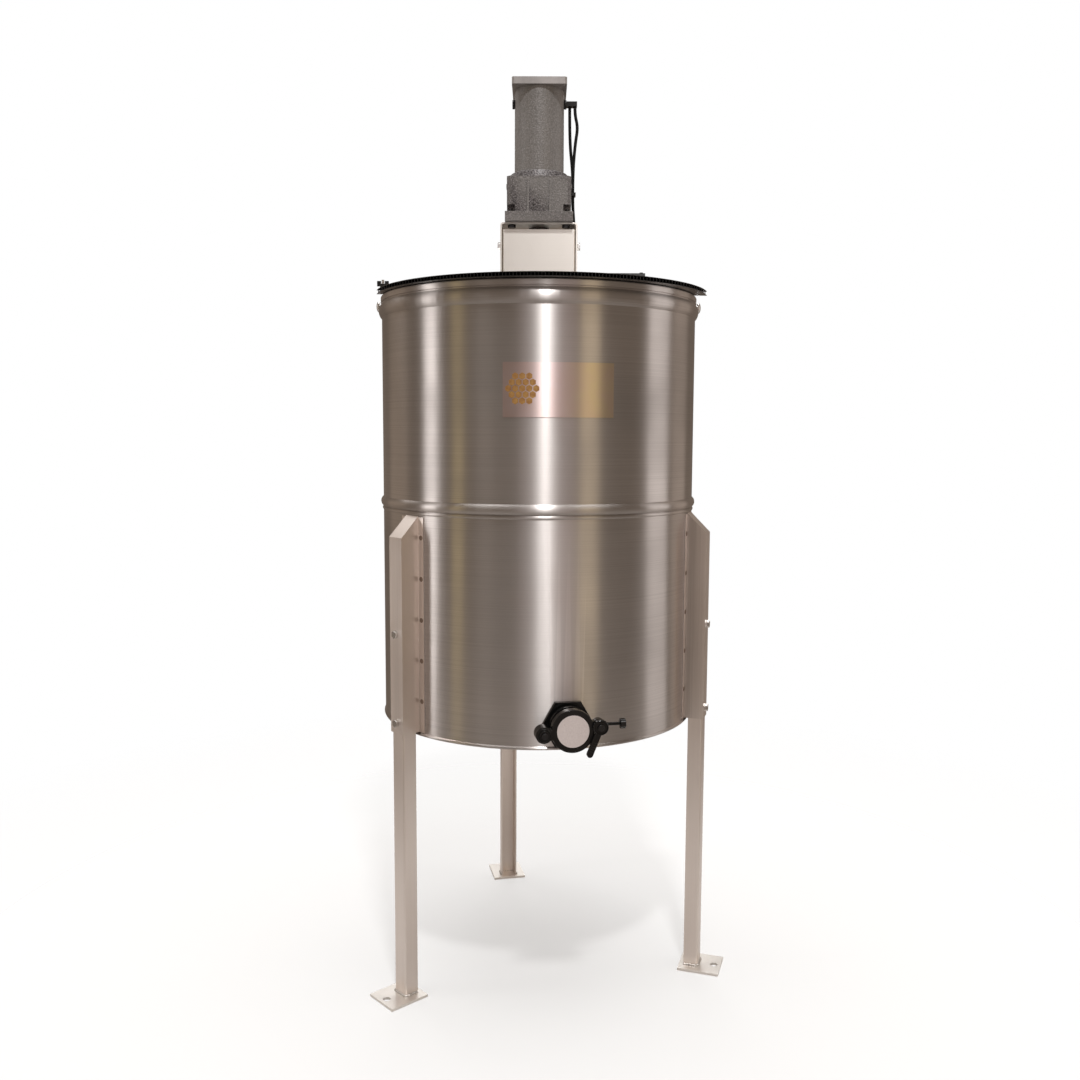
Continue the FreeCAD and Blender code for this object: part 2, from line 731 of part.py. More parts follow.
def gear_shape(teeth, module, width, bore, phase):
    """A spur gear with involute flanks, a bore, and a tooth centred at the phase angle."""
    pitch = teeth * module / 2
    base = pitch * math.cos(math.radians(20))
    tip = pitch + 0.95 * module
    foot = pitch - 1.2 * module
    backlash = 0.12 / pitch

    def involute(radius):
        spread = math.acos(min(base / radius, 1))
        return math.tan(spread) - spread

    def half_angle(radius):
        at_pitch = math.pi / 2 / teeth - backlash
        return at_pitch + involute(pitch) - involute(max(radius, base))

    radii = [foot] + [max(base, foot) + (tip - max(base, foot)) * step / 4 for step in range(5)]
    points = []
    for tooth in range(teeth):
        center = math.radians(phase) + 2 * math.pi * tooth / teeth
        flank = [(radius, half_angle(radius)) for radius in radii]
        for radius, angle in [(r, -a) for r, a in flank] + flank[::-1]:
            spot = (radius * math.cos(center + angle), radius * math.sin(center + angle), 0)
            points.append(FreeCAD.Vector(*spot))
    blank = Part.Face(Part.makePolygon(points + points[:1])).extrude(FreeCAD.Vector(0, 0, width))
    return blank.cut(Part.makeCylinder(bore, width))


def gear(name, teeth, width, bore, x, y, z, phase):
    """A gear from its tooth count and the shared module."""
    obj = doc.addObject("Part::Feature", name)
    obj.Shape = gear_shape(int(sheet.get(teeth)), sheet.get("gear_module"), width, size(bore).value, phase)
    return place(obj, x, y, z)


def make_gears():
    """Two equal reductions in line: motor pinion to countershaft wheel, its pinion to the output."""
    wheel = sheet.get("wheel_teeth")
    pinion = sheet.get("pinion_teeth")
    offset = cell("gear_module") * (cell("wheel_teeth") + cell("pinion_teeth")) / 2
    low = bracket_top
    node("output_wheel", gear("output_wheel", "wheel_teeth", 12, output, 0, 0, low + 14, 90))
    node("motor_pinion", gear("motor_pinion", "pinion_teeth", 14, 5, 0, 0, low + 33, 90))
    node("counter_gears", group("counter_gears", [
        gear("counter_pinion", "pinion_teeth", 14, 5, 0, offset, low + 13, -90 + 180 / pinion),
        gear("counter_wheel", "wheel_teeth", 12, 5, 0, offset, low + 34, -90 + 180 / wheel),
    ]))
    node("countershaft", rod("countershaft", 5, 68, 0, offset, low + 5))
    node("output_shaft", rod("output_shaft", output, 93, z=low - 65))
    return offset


def make_gearbox(offset):
    """The cast housing, its inner bearing web, and the round adapter that carries the motor."""
    half = cell("gearbox_width") / 2
    low = bracket_top
    height = cell("gearbox_height")
    casting = new_body("gearbox_casting")
    corner = 7
    pad(casting, "gearbox_block", "XY", [
        (corner - half, -half), (half - corner, -half), (half, corner - half), (half, half - corner),
        (half - corner, half), (corner - half, half), (-half, half - corner), (-half, corner - half),
    ], height, low)
    foot = half + 3.5
    base = block("gearbox_base", (-foot, foot), (-foot, foot), (low, low + 18))
    ribs = [block(f"gearbox_rib_{i}", (x - 2, x + 2), (-half - 3, half + 3), (low + 18, low + height - 6))
            for i, x in enumerate((-21, 21))]
    rails = block("gearbox_rail", (-half - 2.5, half + 2.5), (-8, 8), (low + height - 12, low + height - 4))
    boss = rod("gearbox_boss", 19.4, 11, z=low - 10)
    bores = [
        rod("gearbox_cavity", 54.4, height, z=low + 8),
        rod("gearbox_output_bore", output + running, 40, z=low - 20),
        rod("gearbox_counter_bore", running + 5, 10, 0, offset, low + 4.8),
    ]
    bores += [rod(f"gearbox_bolt_hole_{i}", 4, 15, *xy, low - 0.5) for i, xy in enumerate(GEARBOX_BOLTS)]
    corners = [(x, y) for x in (-1, 1) for y in (-1, 1)]
    notch = half - 15
    for i, (x, y) in enumerate(corners):
        bores.append(block(f"gearbox_notch_{i}", ordered(notch * x, (foot + 1) * x),
                           ordered(notch * y, (foot + 1) * y), (low + 18, low + 31)))
        bores.append(rod(f"gearbox_screw_hole_{i}", 2.5, 12, (half - 7) * x, (half - 7) * y, low + 8))
    node("gearbox_housing", cut("gearbox_housing", join("gearbox_solid", casting, base, *ribs, rails, boss),
                                *bores))
    screws = [join(f"gearbox_screw_{i}",
                   rod(f"gearbox_screw_head_{i}", 4.2, 5, (half - 7) * x, (half - 7) * y, low + 18),
                   rod(f"gearbox_screw_shank_{i}", 2.4, 10, (half - 7) * x, (half - 7) * y, low + 8.5))
              for i, (x, y) in enumerate(corners)]
    adapter = join("adapter_solid", taper("adapter_cone", 59, 55, cell("adapter_height"), z=gearbox_top),
                   rod("adapter_spigot", 54.2, 20, z=gearbox_top - 20))
    node("gearbox_adapter", cut("gearbox_adapter", adapter,
                                rod("adapter_bore", running + 5, 40, z=gearbox_top - 25),
                                rod("adapter_counter_bore", running + 5, 18, 0, offset, gearbox_top - 25)))
    return screws


# ---- motor --------------------------------------------------------------------------------------


def make_motor():
    """A permanent-magnet motor: can, square end cap, magnets, armature, brushes and their caps."""
    radius = cell("motor_diameter") / 2
    level = motor_low + 134
    can = tube("motor_can", radius, radius - 4, cell("motor_length"), z=motor_low)
    side_hole = rod("motor_brush_bore", 5.1, 120, -60, 0, level, "x")
    lead_hole = rod("motor_lead_hole", 4, 30, 30, 18, level + 5, "x")
    turns = (45, 135, 225, 315)
    spots = [((radius - 2) * cosine(turn), (radius - 2) * sine(turn)) for turn in turns]
    holes = [rod(f"can_screw_hole_{i}", 1.4, 12, *xy, motor_top - 10) for i, xy in enumerate(spots)]
    node("motor_housing", cut("motor_housing", can, side_hole, lead_hole, *holes))

    half = cell("cap_width") / 2
    bend = 5
    cap = new_body("end_cap_casting")
    pad(cap, "end_cap_block", "XY", [
        (bend - half, -half), (half - bend, -half, bend), (half, bend - half), (half, half - bend, bend),
        (half - bend, half), (bend - half, half, bend), (-half, half - bend), (-half, bend - half, bend),
    ], cell("cap_thick"), motor_top)
    holes = [rod(f"cap_screw_hole_{i}", 1.6, 30, *xy, motor_top - 5) for i, xy in enumerate(spots)]
    bearing = rod("cap_bearing_bore", running + 5, 9, z=motor_top - 1)
    node("motor_end_cap", cut("motor_end_cap", cap, bearing, *holes))
    screws = [join(f"cap_screw_{i}", rod(f"cap_screw_head_{i}", 3.2, 2.2, *xy, motor_top + cell("cap_thick")),
                   rod(f"cap_screw_shank_{i}", 1.4, cell("cap_thick") + 9, *xy, motor_top - 9))
              for i, xy in enumerate(spots)]

    ring = tube("magnet_ring", radius - 4.1, 33, 90, z=motor_low + 20)
    slot = block("magnet_slot", (-60, 60), (-10, 10), (motor_low, motor_top))
    node("motor_magnets", cut("motor_magnets", ring, slot))
    node("armature_shaft", rod("armature_shaft", 5, motor_top + 7 - bracket_top - 33, z=bracket_top + 33))
    node("armature_core", group("armature_core", [tube("armature_stack", 30, 5, 84, z=motor_low + 23),
                                                  tube("commutator", 14, 5, 24, z=level - 12)]))

    brushes = []
    caps = []
    for i, turn in enumerate((0, 180)):
        brush = rod(f"brush_{i}", 5, 22, 14.4, 0, level, "x")
        brushes.append(swing(brush, turn))
        cap = join(f"brush_cap_{i}", rod(f"brush_cap_head_{i}", 8.6, 4.5, radius + 0.1, 0, level, "x"),
                   rod(f"brush_cap_plug_{i}", 5, 8, radius - 7.5, 0, level, "x"))
        caps.append(swing(cap, turn))
    node("brushes", group("brushes", brushes))
    node("brush_caps", group("brush_caps", caps))
    return screws


# ---- leads and control box ----------------------------------------------------------------------


BOX_X = (84, 204)
BOX_Y = (-48, 20)
CABLE_X = 125
SLEEVE_Y = 70
LEAD_SLEEVE = (65, 38)


def route(points):
    """Straight runs through the points, joined by tangent arcs."""
    vectors = [FreeCAD.Vector(*(size(number).value for number in point)) for point in points]
    edges = []
    start = vectors[0]
    for before, corner, after in zip(vectors, vectors[1:], vectors[2:]):
        back = (before - corner).normalize()
        ahead = (after - corner).normalize()
        trim = 0.45 * min((before - corner).Length, (after - corner).Length)
        half_turn = (math.pi - back.getAngle(ahead)) / 2
        middle = (back + ahead).normalize()
        radius = trim / math.tan(half_turn)
        print(f"route radius {radius:.1f}")
        enter = corner + back * trim
        leave = corner + ahead * trim
        bulge = corner + middle * (radius / math.cos(half_turn) - radius)
        edges.append(Part.LineSegment(start, enter).toShape())
        edges.append(Part.Arc(enter, bulge, leave).toShape())
        start = leave
    edges.append(Part.LineSegment(start, vectors[-1]).toShape())
    return Part.Wire(edges)


def lead(label, radius, points):
    """A round lead along a route."""
    path = route(points)
    start = path.Vertexes[0].Point
    direction = path.Edges[0].tangentAt(path.Edges[0].FirstParameter)
    section = Part.Wire(Part.Circle(start, direction, radius).toShape())
    obj = doc.addObject("Part::Feature", label)
    obj.Shape = path.makePipeShell([section], True, False)
    print(f"{label}: length {path.Length:.0f}, volume ratio "
          f"{obj.Shape.Volume / (math.pi * radius ** 2 * path.Length):.3f}")
    return obj


def make_leads():
    """Two leads from the motor's gland through a clip to a sleeve, and one cable on to the box."""
    top = motor_low + 135
    low = bracket_top
    sleeve_low, sleeve_high = LEAD_SLEEVE
    y = SLEEVE_Y
    rear = lead("motor_lead_rear", 3, [
        (59, 22, top), (59, 22, top - 64), (66, 24, top - 122), (66, 24, low + 47),
        (69, 44, low + 26), (70, 66, low + 10), (60, y, low - 16), (60, y, low - sleeve_high),
    ])
    front = lead("motor_lead_front", 3, [
        (69, 16, top), (69, 16, top - 15), (75, 15.5, top - 39), (70, 15, top - 70),
        (66, 15, top - 120), (66, 15, low + 42), (69, 35, low + 17), (71, 60, low + 2),
        (67, y, low - 18), (67, y, low - sleeve_high),
    ])
    cable = lead("box_cable", 3.4, [
        (63.5, y, low - sleeve_low), (63.5, y, low - 86), (74, y + 0.5, box_level + 10),
        (94, y + 0.5, box_level + 2), (114, y - 3, box_level), (CABLE_X, y - 20, box_level),
        (CABLE_X, BOX_Y[1] + 14, box_level),
    ])
    node("motor_leads", group("motor_leads", [rear, front, cable]))


def make_cable_fittings():
    """The motor's gland, the lead clip on the gearbox, the sleeve, and the box's two glands."""
    top = motor_low + 135
    tail = block("gland_tail", (46, 73), (11, 26), (top, top + 9))
    can = rod("gland_can", cell("motor_diameter") / 2 + 0.2, 60, z=top - 20)
    motor_gland = cut("motor_gland", tail, can)
    low = bracket_top
    block_low = cell("gearbox_width") / 2 + 0.1
    clip = block("lead_clip_block", (block_low, 71.5), (10, 29), (low + 63, low + 69))
    bores = [rod(f"lead_clip_bore_{i}", 3.05, 20, 66, y, low + 58) for i, y in enumerate((24, 15))]
    sleeve_low, sleeve_high = LEAD_SLEEVE
    sleeve = block("lead_sleeve", (56, 71), (SLEEVE_Y - 3.6, SLEEVE_Y + 3.6),
                   (low - sleeve_low, low - sleeve_high))
    cable_gland = rod("cable_gland", 6.5, 14, CABLE_X, BOX_Y[1], box_level, "y")
    inlet = tube("inlet_gland", 7.5, 4, 14, BOX_X[1], -14, box_level, "x")
    node("cable_fittings", group("cable_fittings", [
        motor_gland, cut("lead_clip", clip, *bores), sleeve, cable_gland, inlet,
    ]))


def make_control_box():
    """The speed control beside the bracket: box, cover, board, knob and rocker switch."""
    x = BOX_X
    y = BOX_Y
    high = deck + 38
    t = 2
    outside = block("box_outside", x, y, (deck, high - t))
    hollow = block("box_inside", (x[0] + t, x[1] - t), (y[0] + t, y[1] - t), (deck + t, high))
    bezel = block("switch_bezel", (158, 182), (y[0] - 1.5, y[0]), (box_level - 10, box_level + 10))
    holes = [
        rod("box_knob_hole", 5, 10, 122, y[0] - 2, box_level, "y"),
        block("box_switch_hole", (160.5, 179.5), (y[0] - 3, y[0] + 5), (box_level - 7.6, box_level + 7.6)),
        rod("box_cable_hole", 4, 10, CABLE_X, 15, box_level, "y"),
        rod("box_inlet_hole", 5, 10, 198, -14, box_level, "x"),
    ]
    node("control_box", cut("control_box", join("box_solid", outside, bezel), hollow, *holes))
    spots = [(px, py) for px in (x[0] + 7, x[1] - 7) for py in (y[0] + 7, y[1] - 7)]
    lid = block("box_cover_sheet", x, y, (high - t, high))
    holes = [rod(f"box_cover_hole_{i}", 2.1, 6, *xy, high - 4) for i, xy in enumerate(spots)]
    node("control_box_cover", cut("control_box_cover", lid, *holes))
    screws = [join(f"box_screw_{i}", rod(f"box_screw_head_{i}", 3.6, 2, *xy, high),
                   rod(f"box_screw_shank_{i}", 2, 10, *xy, high - 9)) for i, xy in enumerate(spots)]
    board = block("board_sheet", (x[0] + 20, x[1] - 30), (y[0] + 30, y[1] - 16), (deck + 6, deck + 8))
    bushing = tube("pot_bushing", 4.9, 3 + running, 8, 122, y[0] - 1, box_level, "y")
    case = tube("pot_case", 9, 3 + running, 9, 122, y[0] + 2.1, box_level, "y")
    node("control_board", group("control_board", [board, join("speed_control", bushing, case)]))
    knob = join("knob_solid", rod("knob_grip", 12, 13, 122, y[0] - 15, box_level, "y"),
                rod("knob_stem", 3, 12, 122, y[0] - 3, box_level, "y"))
    pointer = block("knob_pointer", (121, 123), (y[0] - 16, y[0] - 10), (box_level + 2, box_level + 12.8))
    node("speed_knob", join("speed_knob", knob, pointer))
    ridge = block("rocker_ridge", (161.5, 178.5), (y[0] - 8.6, y[0] - 3), (box_level + 1, box_level + 4))
    node("rocker", join("rocker", rod("rocker_drum", 7.2, 17, 161.5, y[0], box_level, "x"), ridge))
    return screws


# ---- reel ---------------------------------------------------------------------------------------


def make_reel():
    """The nine-frame reel: shaft, hubs, hoops, comb ring, bed and guide channels, spokes, uprights."""
    count = cell("frame_count")
    step = 360 / count
    hub = cell("hub_radius")
    t = sheet_thick
    half = cell("frame_slot") / 2 + t
    hoop = cell("hoop_height")
    lowest = cone_top + 23.1
    node("reel_shaft", rod("reel_shaft", shaft, bracket_top - 65 - lowest - 0.5, z=lowest))
    lower_hub = turned("reel_lower_hub", [
        (shaft, reel_low - 22), (26, reel_low - 22), (26, reel_low), (74, reel_low), (74, reel_low + 4),
        (shaft, reel_low + 4),
    ])
    upper_hub = turned("reel_upper_hub", [
        (shaft, reel_top - 4), (hub, reel_top - 4), (hub, reel_top), (26, reel_top), (26, reel_top + 22),
        (shaft, reel_top + 22),
    ])
    node("reel_hubs", group("reel_hubs", [lower_hub, upper_hub]))
    inner = reel_radius - plate
    node("reel_hoops", group("reel_hoops", [
        tube(f"reel_hoop_{i}", reel_radius, inner, hoop, z=level)
        for i, level in enumerate((reel_low, reel_top - hoop))
    ]))

    beds = new_body("reel_bed_channels")
    low = reel_low + 4
    stop = inner - 0.4
    bed = pad(beds, "bed_strip", "XY", [(66, -half), (stop, -half), (stop, half), (66, half)], 12, low)
    polar(beds, bed, count)
    groove = pocket(beds, "bed_groove", "XY", [
        (60, t - half), (inner - 4, t - half), (inner - 4, half - t), (60, half - t),
    ], 13 - t, low + 13)
    polar(beds, groove, count)
    node("reel_bed_channels", beds)

    guides = new_body("reel_guide_channels")
    reach = cell("guide_reach")
    guide = pad(guides, "guide_strip", "XY", [
        (hub, -half), (reach, -half), (reach, t - half), (hub + t, t - half), (hub + t, half - t),
        (reach, half - t), (reach, half), (hub, half),
    ], reel_top - reel_low - 4, reel_low + 4)
    polar(guides, guide, count)
    node("reel_guide_channels", guides)

    comb = turned("reel_comb_ring", [
        (inner - 24, reel_top - hoop - 3), (inner, reel_top - hoop - 3), (inner, reel_top - hoop),
        (inner - 24, reel_top - hoop),
    ])
    slot = cell("comb_slot") / 2
    notch = pocket(comb, "comb_notch", "XY", [
        (inner - 30, -slot), (inner - 6, -slot), (inner - 6, slot), (inner - 30, slot),
    ], 40, reel_top)
    polar(comb, notch, count)
    node("reel_comb_ring", comb)

    spokes = []
    uprights = []
    for i in range(int(count.value)):
        turn = step * (i + 0.5)
        spoke = rod(f"reel_spoke_{i}", 3, inner - hub, hub, 0, reel_top - 4, "x")
        spokes.append(swing(spoke, turn))
        bar = block(f"reel_upright_{i}", (inner - 3.5, inner - 0.5), (-10, 10),
                    (reel_low + 16.1, reel_top - hoop - 3))
        uprights.append(swing(bar, turn))
    node("reel_spokes", group("reel_spokes", spokes))
    node("reel_uprights", group("reel_uprights", uprights))

    joint = bracket_top - 65
    sleeve = turned("coupling_sleeve", [
        (shaft, joint - 22), (20, joint - 22), (21, joint - 21), (21, joint + 21), (20, joint + 22),
        (output, joint + 22), (output, joint), (shaft, joint),
    ])
    sockets = [rod(f"coupling_socket_{i}", 3, 6, 0, 17, joint + z, "y") for i, z in enumerate((-11, 11))]
    node("coupling", cut("coupling", sleeve, *sockets))


# ---- gate ---------------------------------------------------------------------------------------

HUB = (47, 6.5)
PIVOT_DROP = 5


def make_gate():
    """The moulded honey gate: body through the wall, gasket, lock nut, blade, lever and screws.

    It is laid out on a wall that faces +X, with +Y to the right, and turned to its azimuth.
    """
    turn = cell("gate_azimuth")
    level = cell("gate_height")
    face = wall + cell("gate_face")
    reach = cell("pivot_reach")
    ear = 14.5
    hub_y, hub_z = HUB

    def along(name, radius, start, stop, y=0, z=0):
        return rod(name, radius, size(stop) - start, start, y, level + z, "x")

    def turned_node(label, obj):
        node(label, swing(obj, turn))

    ring = cut("gasket_ring", along("gasket_disc", 36, wall - 3, wall + 4),
               along("gasket_bore", 29.3, 290, 330))
    turned_node("gate_gasket", cut("gasket_fitted", ring, rod("gasket_wall", wall + 0.2, 100, z=level - 50)))

    screw_radius = 3
    flange = hexagon("gate_flange", 46, 9, wall + 4, 0, level, "x")
    flange.Placement.Rotation = ALONG["x"].multiply(FreeCAD.Rotation(FreeCAD.Vector(0, 0, 1), 30))
    solids = [
        along("gate_thread", 29, wall - 22, wall + 20),
        flange,
        along("gate_barrel", 31, wall + 12, face),
        along("gate_collar", 36, wall + 20, wall + 29),
        along("gate_rim", 37, face - 8, face),
        block("gate_left_arm", (face - 8, face), (-reach, 0), (level - 14, level + 4)),
        along("gate_pivot_boss", ear, face - 14, face, -reach, -PIVOT_DROP),
        block("gate_right_arm", (face - 12, face - 0.5), (0, hub_y), (level - 2, level + 14)),
        along("gate_hub", 11, face - 13, face - 0.5, hub_y, hub_z),
        along("gate_hub_post", 8, face - 1, face + 8.6, hub_y, hub_z),
    ]
    bores = [
        along("gate_bore", cell("gate_bore") / 2, 270, 400),
        along("gate_pivot_bore", 3, face - 12, face + 1, -reach, -PIVOT_DROP),
        along("gate_lever_bore", 3, face - 2, face + 10, hub_y, hub_z),
        rod("gate_screw_bore", running + screw_radius, 14, face - 7, hub_y, level + hub_z, "y"),
    ]
    turned_node("gate_body", cut("gate_moulding", join("gate_solid", *solids), *bores))
    nut = cut("lock_nut_cut", hexagon("lock_nut_blank", 42, 10, 288, 0, level, "x"),
              along("lock_nut_bore", 29, 280, 300))
    turned_node("gate_lock_nut", nut)

    near = face + 0.3
    far = face + 8.3
    plate_solids = [
        along("blade_disc", 37.5, near, far),
        along("blade_ear", ear, near, far, -reach, -PIVOT_DROP),
        block("blade_web", (near, far), (-reach, -20), (level - 14, level + 4)),
        along("blade_boss", 9, near, far + 4, -reach, -PIVOT_DROP),
    ]
    blade = cut("blade_cut", join("blade_solid", *plate_solids),
                along("blade_bore", running + 3, near - 1, far + 5, -reach, -PIVOT_DROP))
    turned_node("gate_blade", blade)
    turned_node("gate_label", along("gate_label_disc", 28, far, far + 0.5))
    pivot = join("pivot_bolt", along("pivot_shank", 3, face - 12, far + 4.4, -reach, -PIVOT_DROP),
                 along("pivot_head", 5.5, far + 4.4, far + 7.5, -reach, -PIVOT_DROP))

    lever_low = face + 9
    lever_high = face + 16
    grip = 5.5
    length = 50
    lean = 22
    tip_y = hub_y - length * sine(lean)
    tip_z = hub_z - length * cosine(lean)
    arm = block("lever_arm", (lever_low, lever_high), (-grip, grip), (-length, 0))
    arm.Placement.Rotation = FreeCAD.Rotation(FreeCAD.Vector(1, 0, 0), -lean)
    bind(arm, "Placement.Base.y", tip_y - grip * cosine(lean))
    bind(arm, "Placement.Base.z", level + tip_z + grip * sine(lean))
    lever_hub = along("lever_hub", 13.5, lever_low, lever_high, hub_y, hub_z)
    lever_tip = along("lever_tip", grip, lever_low, lever_high, tip_y, tip_z)
    lever = cut("lever_cut", join("lever_solid", lever_hub, arm, lever_tip),
                along("lever_bore", running + 3, lever_low - 1, lever_high + 1, hub_y, hub_z))
    turned_node("gate_lever", lever)
    bolt = join("lever_bolt", along("lever_shank", 3, face - 2, lever_high + 0.2, hub_y, hub_z),
                along("lever_head", 6, lever_high + 0.2, lever_high + 3.5, hub_y, hub_z))
    screw = join("thumb_screw", rod("thumb_rod", screw_radius, 38, face - 7, hub_y + 1, level + hub_z, "y"),
                 rod("thumb_head", 9, 10, face - 7, hub_y + 38, level + hub_z, "y"))
    turned_node("gate_thumb_screw", screw)
    return [swing(pivot, turn), swing(bolt, turn)]


# ---- build and write ----------------------------------------------------------------------------


def build():
    """Make every sub-part; like fasteners are gathered into one sub-part each."""
    make_tank_wall()
    make_tank_floor()
    make_label()
    make_legs()
    bolts, nuts = leg_fasteners()
    nuts += make_crossbar()
    bolts += make_top_bearing()
    make_lids()
    make_wing_nut()
    bolts += make_bracket()
    guard_bolts, guard_nuts = make_guard()
    screws = make_gearbox(make_gears())
    screws += make_motor()
    make_leads()
    make_cable_fittings()
    screws += make_control_box()
    make_reel()
    screws += make_gate()
    node("hex_bolts", group("hex_bolts", bolts + guard_bolts))
    node("hex_nuts", group("hex_nuts", nuts + guard_nuts))
    node("machine_screws", group("machine_screws", screws))
    doc.recompute()


def check():
    """Stop if an object failed, or if a sub-part isn't made of valid solids."""
    for obj in doc.Objects:
        if "Invalid" in obj.State or "Error" in obj.State:
            raise RuntimeError(f"{obj.Name} failed: {obj.State}")
    for obj in nodes:
        if obj.Shape.isNull() or not obj.Shape.isValid() or not obj.Shape.Solids:
            raise RuntimeError(f"{obj.Label} is not a valid solid")


def write():
    """Write each sub-part to its own STEP file."""
    os.makedirs("parts", exist_ok=True)
    for obj in nodes:
        obj.Shape.exportStep(f"parts/{obj.Label}.step")
        print(f"{obj.Label}: {len(obj.Shape.Solids)} solid(s), {obj.Shape.Volume / 1000:.1f} cm3")


build()
check()
write()
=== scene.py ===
import json
import math

import bmesh
import bpy
from mathutils import Matrix, Vector, noise

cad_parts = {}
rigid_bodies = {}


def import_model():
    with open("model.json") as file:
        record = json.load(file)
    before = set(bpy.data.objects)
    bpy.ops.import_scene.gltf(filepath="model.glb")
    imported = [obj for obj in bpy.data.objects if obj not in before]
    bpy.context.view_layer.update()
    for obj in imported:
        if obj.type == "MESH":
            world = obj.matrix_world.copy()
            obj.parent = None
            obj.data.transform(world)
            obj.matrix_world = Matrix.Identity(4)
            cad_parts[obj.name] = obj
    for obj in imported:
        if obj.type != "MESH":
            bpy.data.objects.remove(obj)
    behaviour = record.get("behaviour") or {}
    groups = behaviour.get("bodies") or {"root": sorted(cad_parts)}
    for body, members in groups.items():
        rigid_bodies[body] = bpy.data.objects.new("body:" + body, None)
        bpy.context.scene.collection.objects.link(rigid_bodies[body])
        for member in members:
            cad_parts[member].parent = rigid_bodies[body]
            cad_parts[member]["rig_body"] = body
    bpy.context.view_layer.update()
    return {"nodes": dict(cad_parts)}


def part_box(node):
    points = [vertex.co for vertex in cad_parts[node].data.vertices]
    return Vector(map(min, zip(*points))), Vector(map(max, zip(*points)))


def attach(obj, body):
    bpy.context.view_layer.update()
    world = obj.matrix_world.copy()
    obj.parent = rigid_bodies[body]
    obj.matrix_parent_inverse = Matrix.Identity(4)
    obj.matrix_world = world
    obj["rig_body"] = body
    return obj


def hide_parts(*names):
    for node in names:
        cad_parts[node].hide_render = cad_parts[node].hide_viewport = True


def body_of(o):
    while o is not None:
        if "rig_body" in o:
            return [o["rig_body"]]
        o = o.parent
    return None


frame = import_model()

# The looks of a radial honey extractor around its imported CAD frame. Lengths are in metres in the
# frame's own axes: +Z up, -Y toward the operator.

MM = 0.001
WALL = 305 * MM  # the tank wall's outside radius
LEG_AZIMUTHS = (-18, -138, 102)  # degrees round from +X, like every azimuth on the object
GATE_AZIMUTH = -80
FLUTE_PITCH = 6 * MM


# ---- materials ----------------------------------------------------------------------------------

# The places of the mix node's sockets for colours.
MIX_FACTOR = 0
MIX_FIRST = 6
MIX_SECOND = 7
MIX_RESULT = 2


class Finish:
    """A material being built: its Principled shader and short ways to add nodes before it."""

    def __init__(self, name, color, roughness, metallic=0.0, **constants):
        self.material = bpy.data.materials.new(name)
        self.material.use_nodes = True
        self.tree = self.material.node_tree
        self.shader = self.tree.nodes["Principled BSDF"]
        self.shader.inputs["Base Color"].default_value = (*color, 1)
        self.shader.inputs["Roughness"].default_value = roughness
        self.shader.inputs["Metallic"].default_value = metallic
        for socket, value in constants.items():
            self.shader.inputs[socket.replace("_", " ")].default_value = value
        self.place = self.add("ShaderNodeTexCoord").outputs["Object"]
        self.relief = None

    def add(self, kind, **settings):
        """A node with these settings."""
        node = self.tree.nodes.new(kind)
        for key, value in settings.items():
            setattr(node, key, value)
        return node

    def link(self, source, socket):
        self.tree.links.new(source, socket)

    def scaled(self, scale):
        """The object's coordinates, scaled along each axis."""
        mapping = self.add("ShaderNodeMapping")
        mapping.inputs["Scale"].default_value = scale
        self.link(self.place, mapping.inputs["Vector"])
        return mapping.outputs["Vector"]

    def noise(self, scale, detail=2.0):
        """Noise with so many features per metre along each axis."""
        node = self.add("ShaderNodeTexNoise")
        node.inputs["Scale"].default_value = 1.0
        node.inputs["Detail"].default_value = detail
        self.link(self.scaled(scale), node.inputs["Vector"])
        return node.outputs["Fac"]

    def cells(self, scale):
        """Round cells, so many per metre: the distance from each cell's middle."""
        node = self.add("ShaderNodeTexVoronoi", feature="SMOOTH_F1")
        node.inputs["Scale"].default_value = scale
        self.link(self.place, node.inputs["Vector"])
        return node.outputs["Distance"]

    def stripes(self, axis, pitch):
        """Waves across an axis at a pitch."""
        node = self.add("ShaderNodeTexWave", bands_direction=axis)
        node.inputs["Scale"].default_value = math.pi / 10 / pitch
        self.link(self.place, node.inputs["Vector"])
        return node.outputs["Fac"]

    def edges(self):
        """Where the surface is convex, such as along an edge."""
        return self.add("ShaderNodeNewGeometry").outputs["Pointiness"]

    def between(self, value, low, high, start=0.3, stop=0.7):
        """A value mapped from start..stop to low..high."""
        node = self.add("ShaderNodeMapRange")
        node.inputs["From Min"].default_value = start
        node.inputs["From Max"].default_value = stop
        node.inputs["To Min"].default_value = low
        node.inputs["To Max"].default_value = high
        self.link(value, node.inputs["Value"])
        return node.outputs["Result"]

    def mixed(self, factor, first, second):
        """Two colours, or a colour output and a colour, mixed by a factor."""
        node = self.add("ShaderNodeMix", data_type="RGBA")
        self.link(factor, node.inputs[MIX_FACTOR])
        for index, color in ((MIX_FIRST, first), (MIX_SECOND, second)):
            if isinstance(color, tuple):
                node.inputs[index].default_value = (*color, 1)
            else:
                self.link(color, node.inputs[index])
        return node.outputs[MIX_RESULT]

    def smear(self, amount):
        """Draw highlights out upright, as a grain that runs round the tank does."""
        around = self.add("ShaderNodeTangent", direction_type="RADIAL", axis="Z")
        self.link(around.outputs["Tangent"], self.shader.inputs["Tangent"])
        self.shader.inputs["Anisotropic"].default_value = amount
        self.shader.inputs["Anisotropic Rotation"].default_value = 0.25

    def color(self, output):
        self.link(output, self.shader.inputs["Base Color"])

    def roughness(self, output):
        self.link(output, self.shader.inputs["Roughness"])

    def bump(self, height, distance, strength):
        """Relief of a height, on top of any bump before it."""
        node = self.add("ShaderNodeBump")
        node.inputs["Distance"].default_value = distance
        node.inputs["Strength"].default_value = strength
        self.link(height, node.inputs["Height"])
        if self.relief is not None:
            self.link(self.relief, node.inputs["Normal"])
        self.relief = node.outputs["Normal"]
        self.link(self.relief, self.shader.inputs["Normal"])


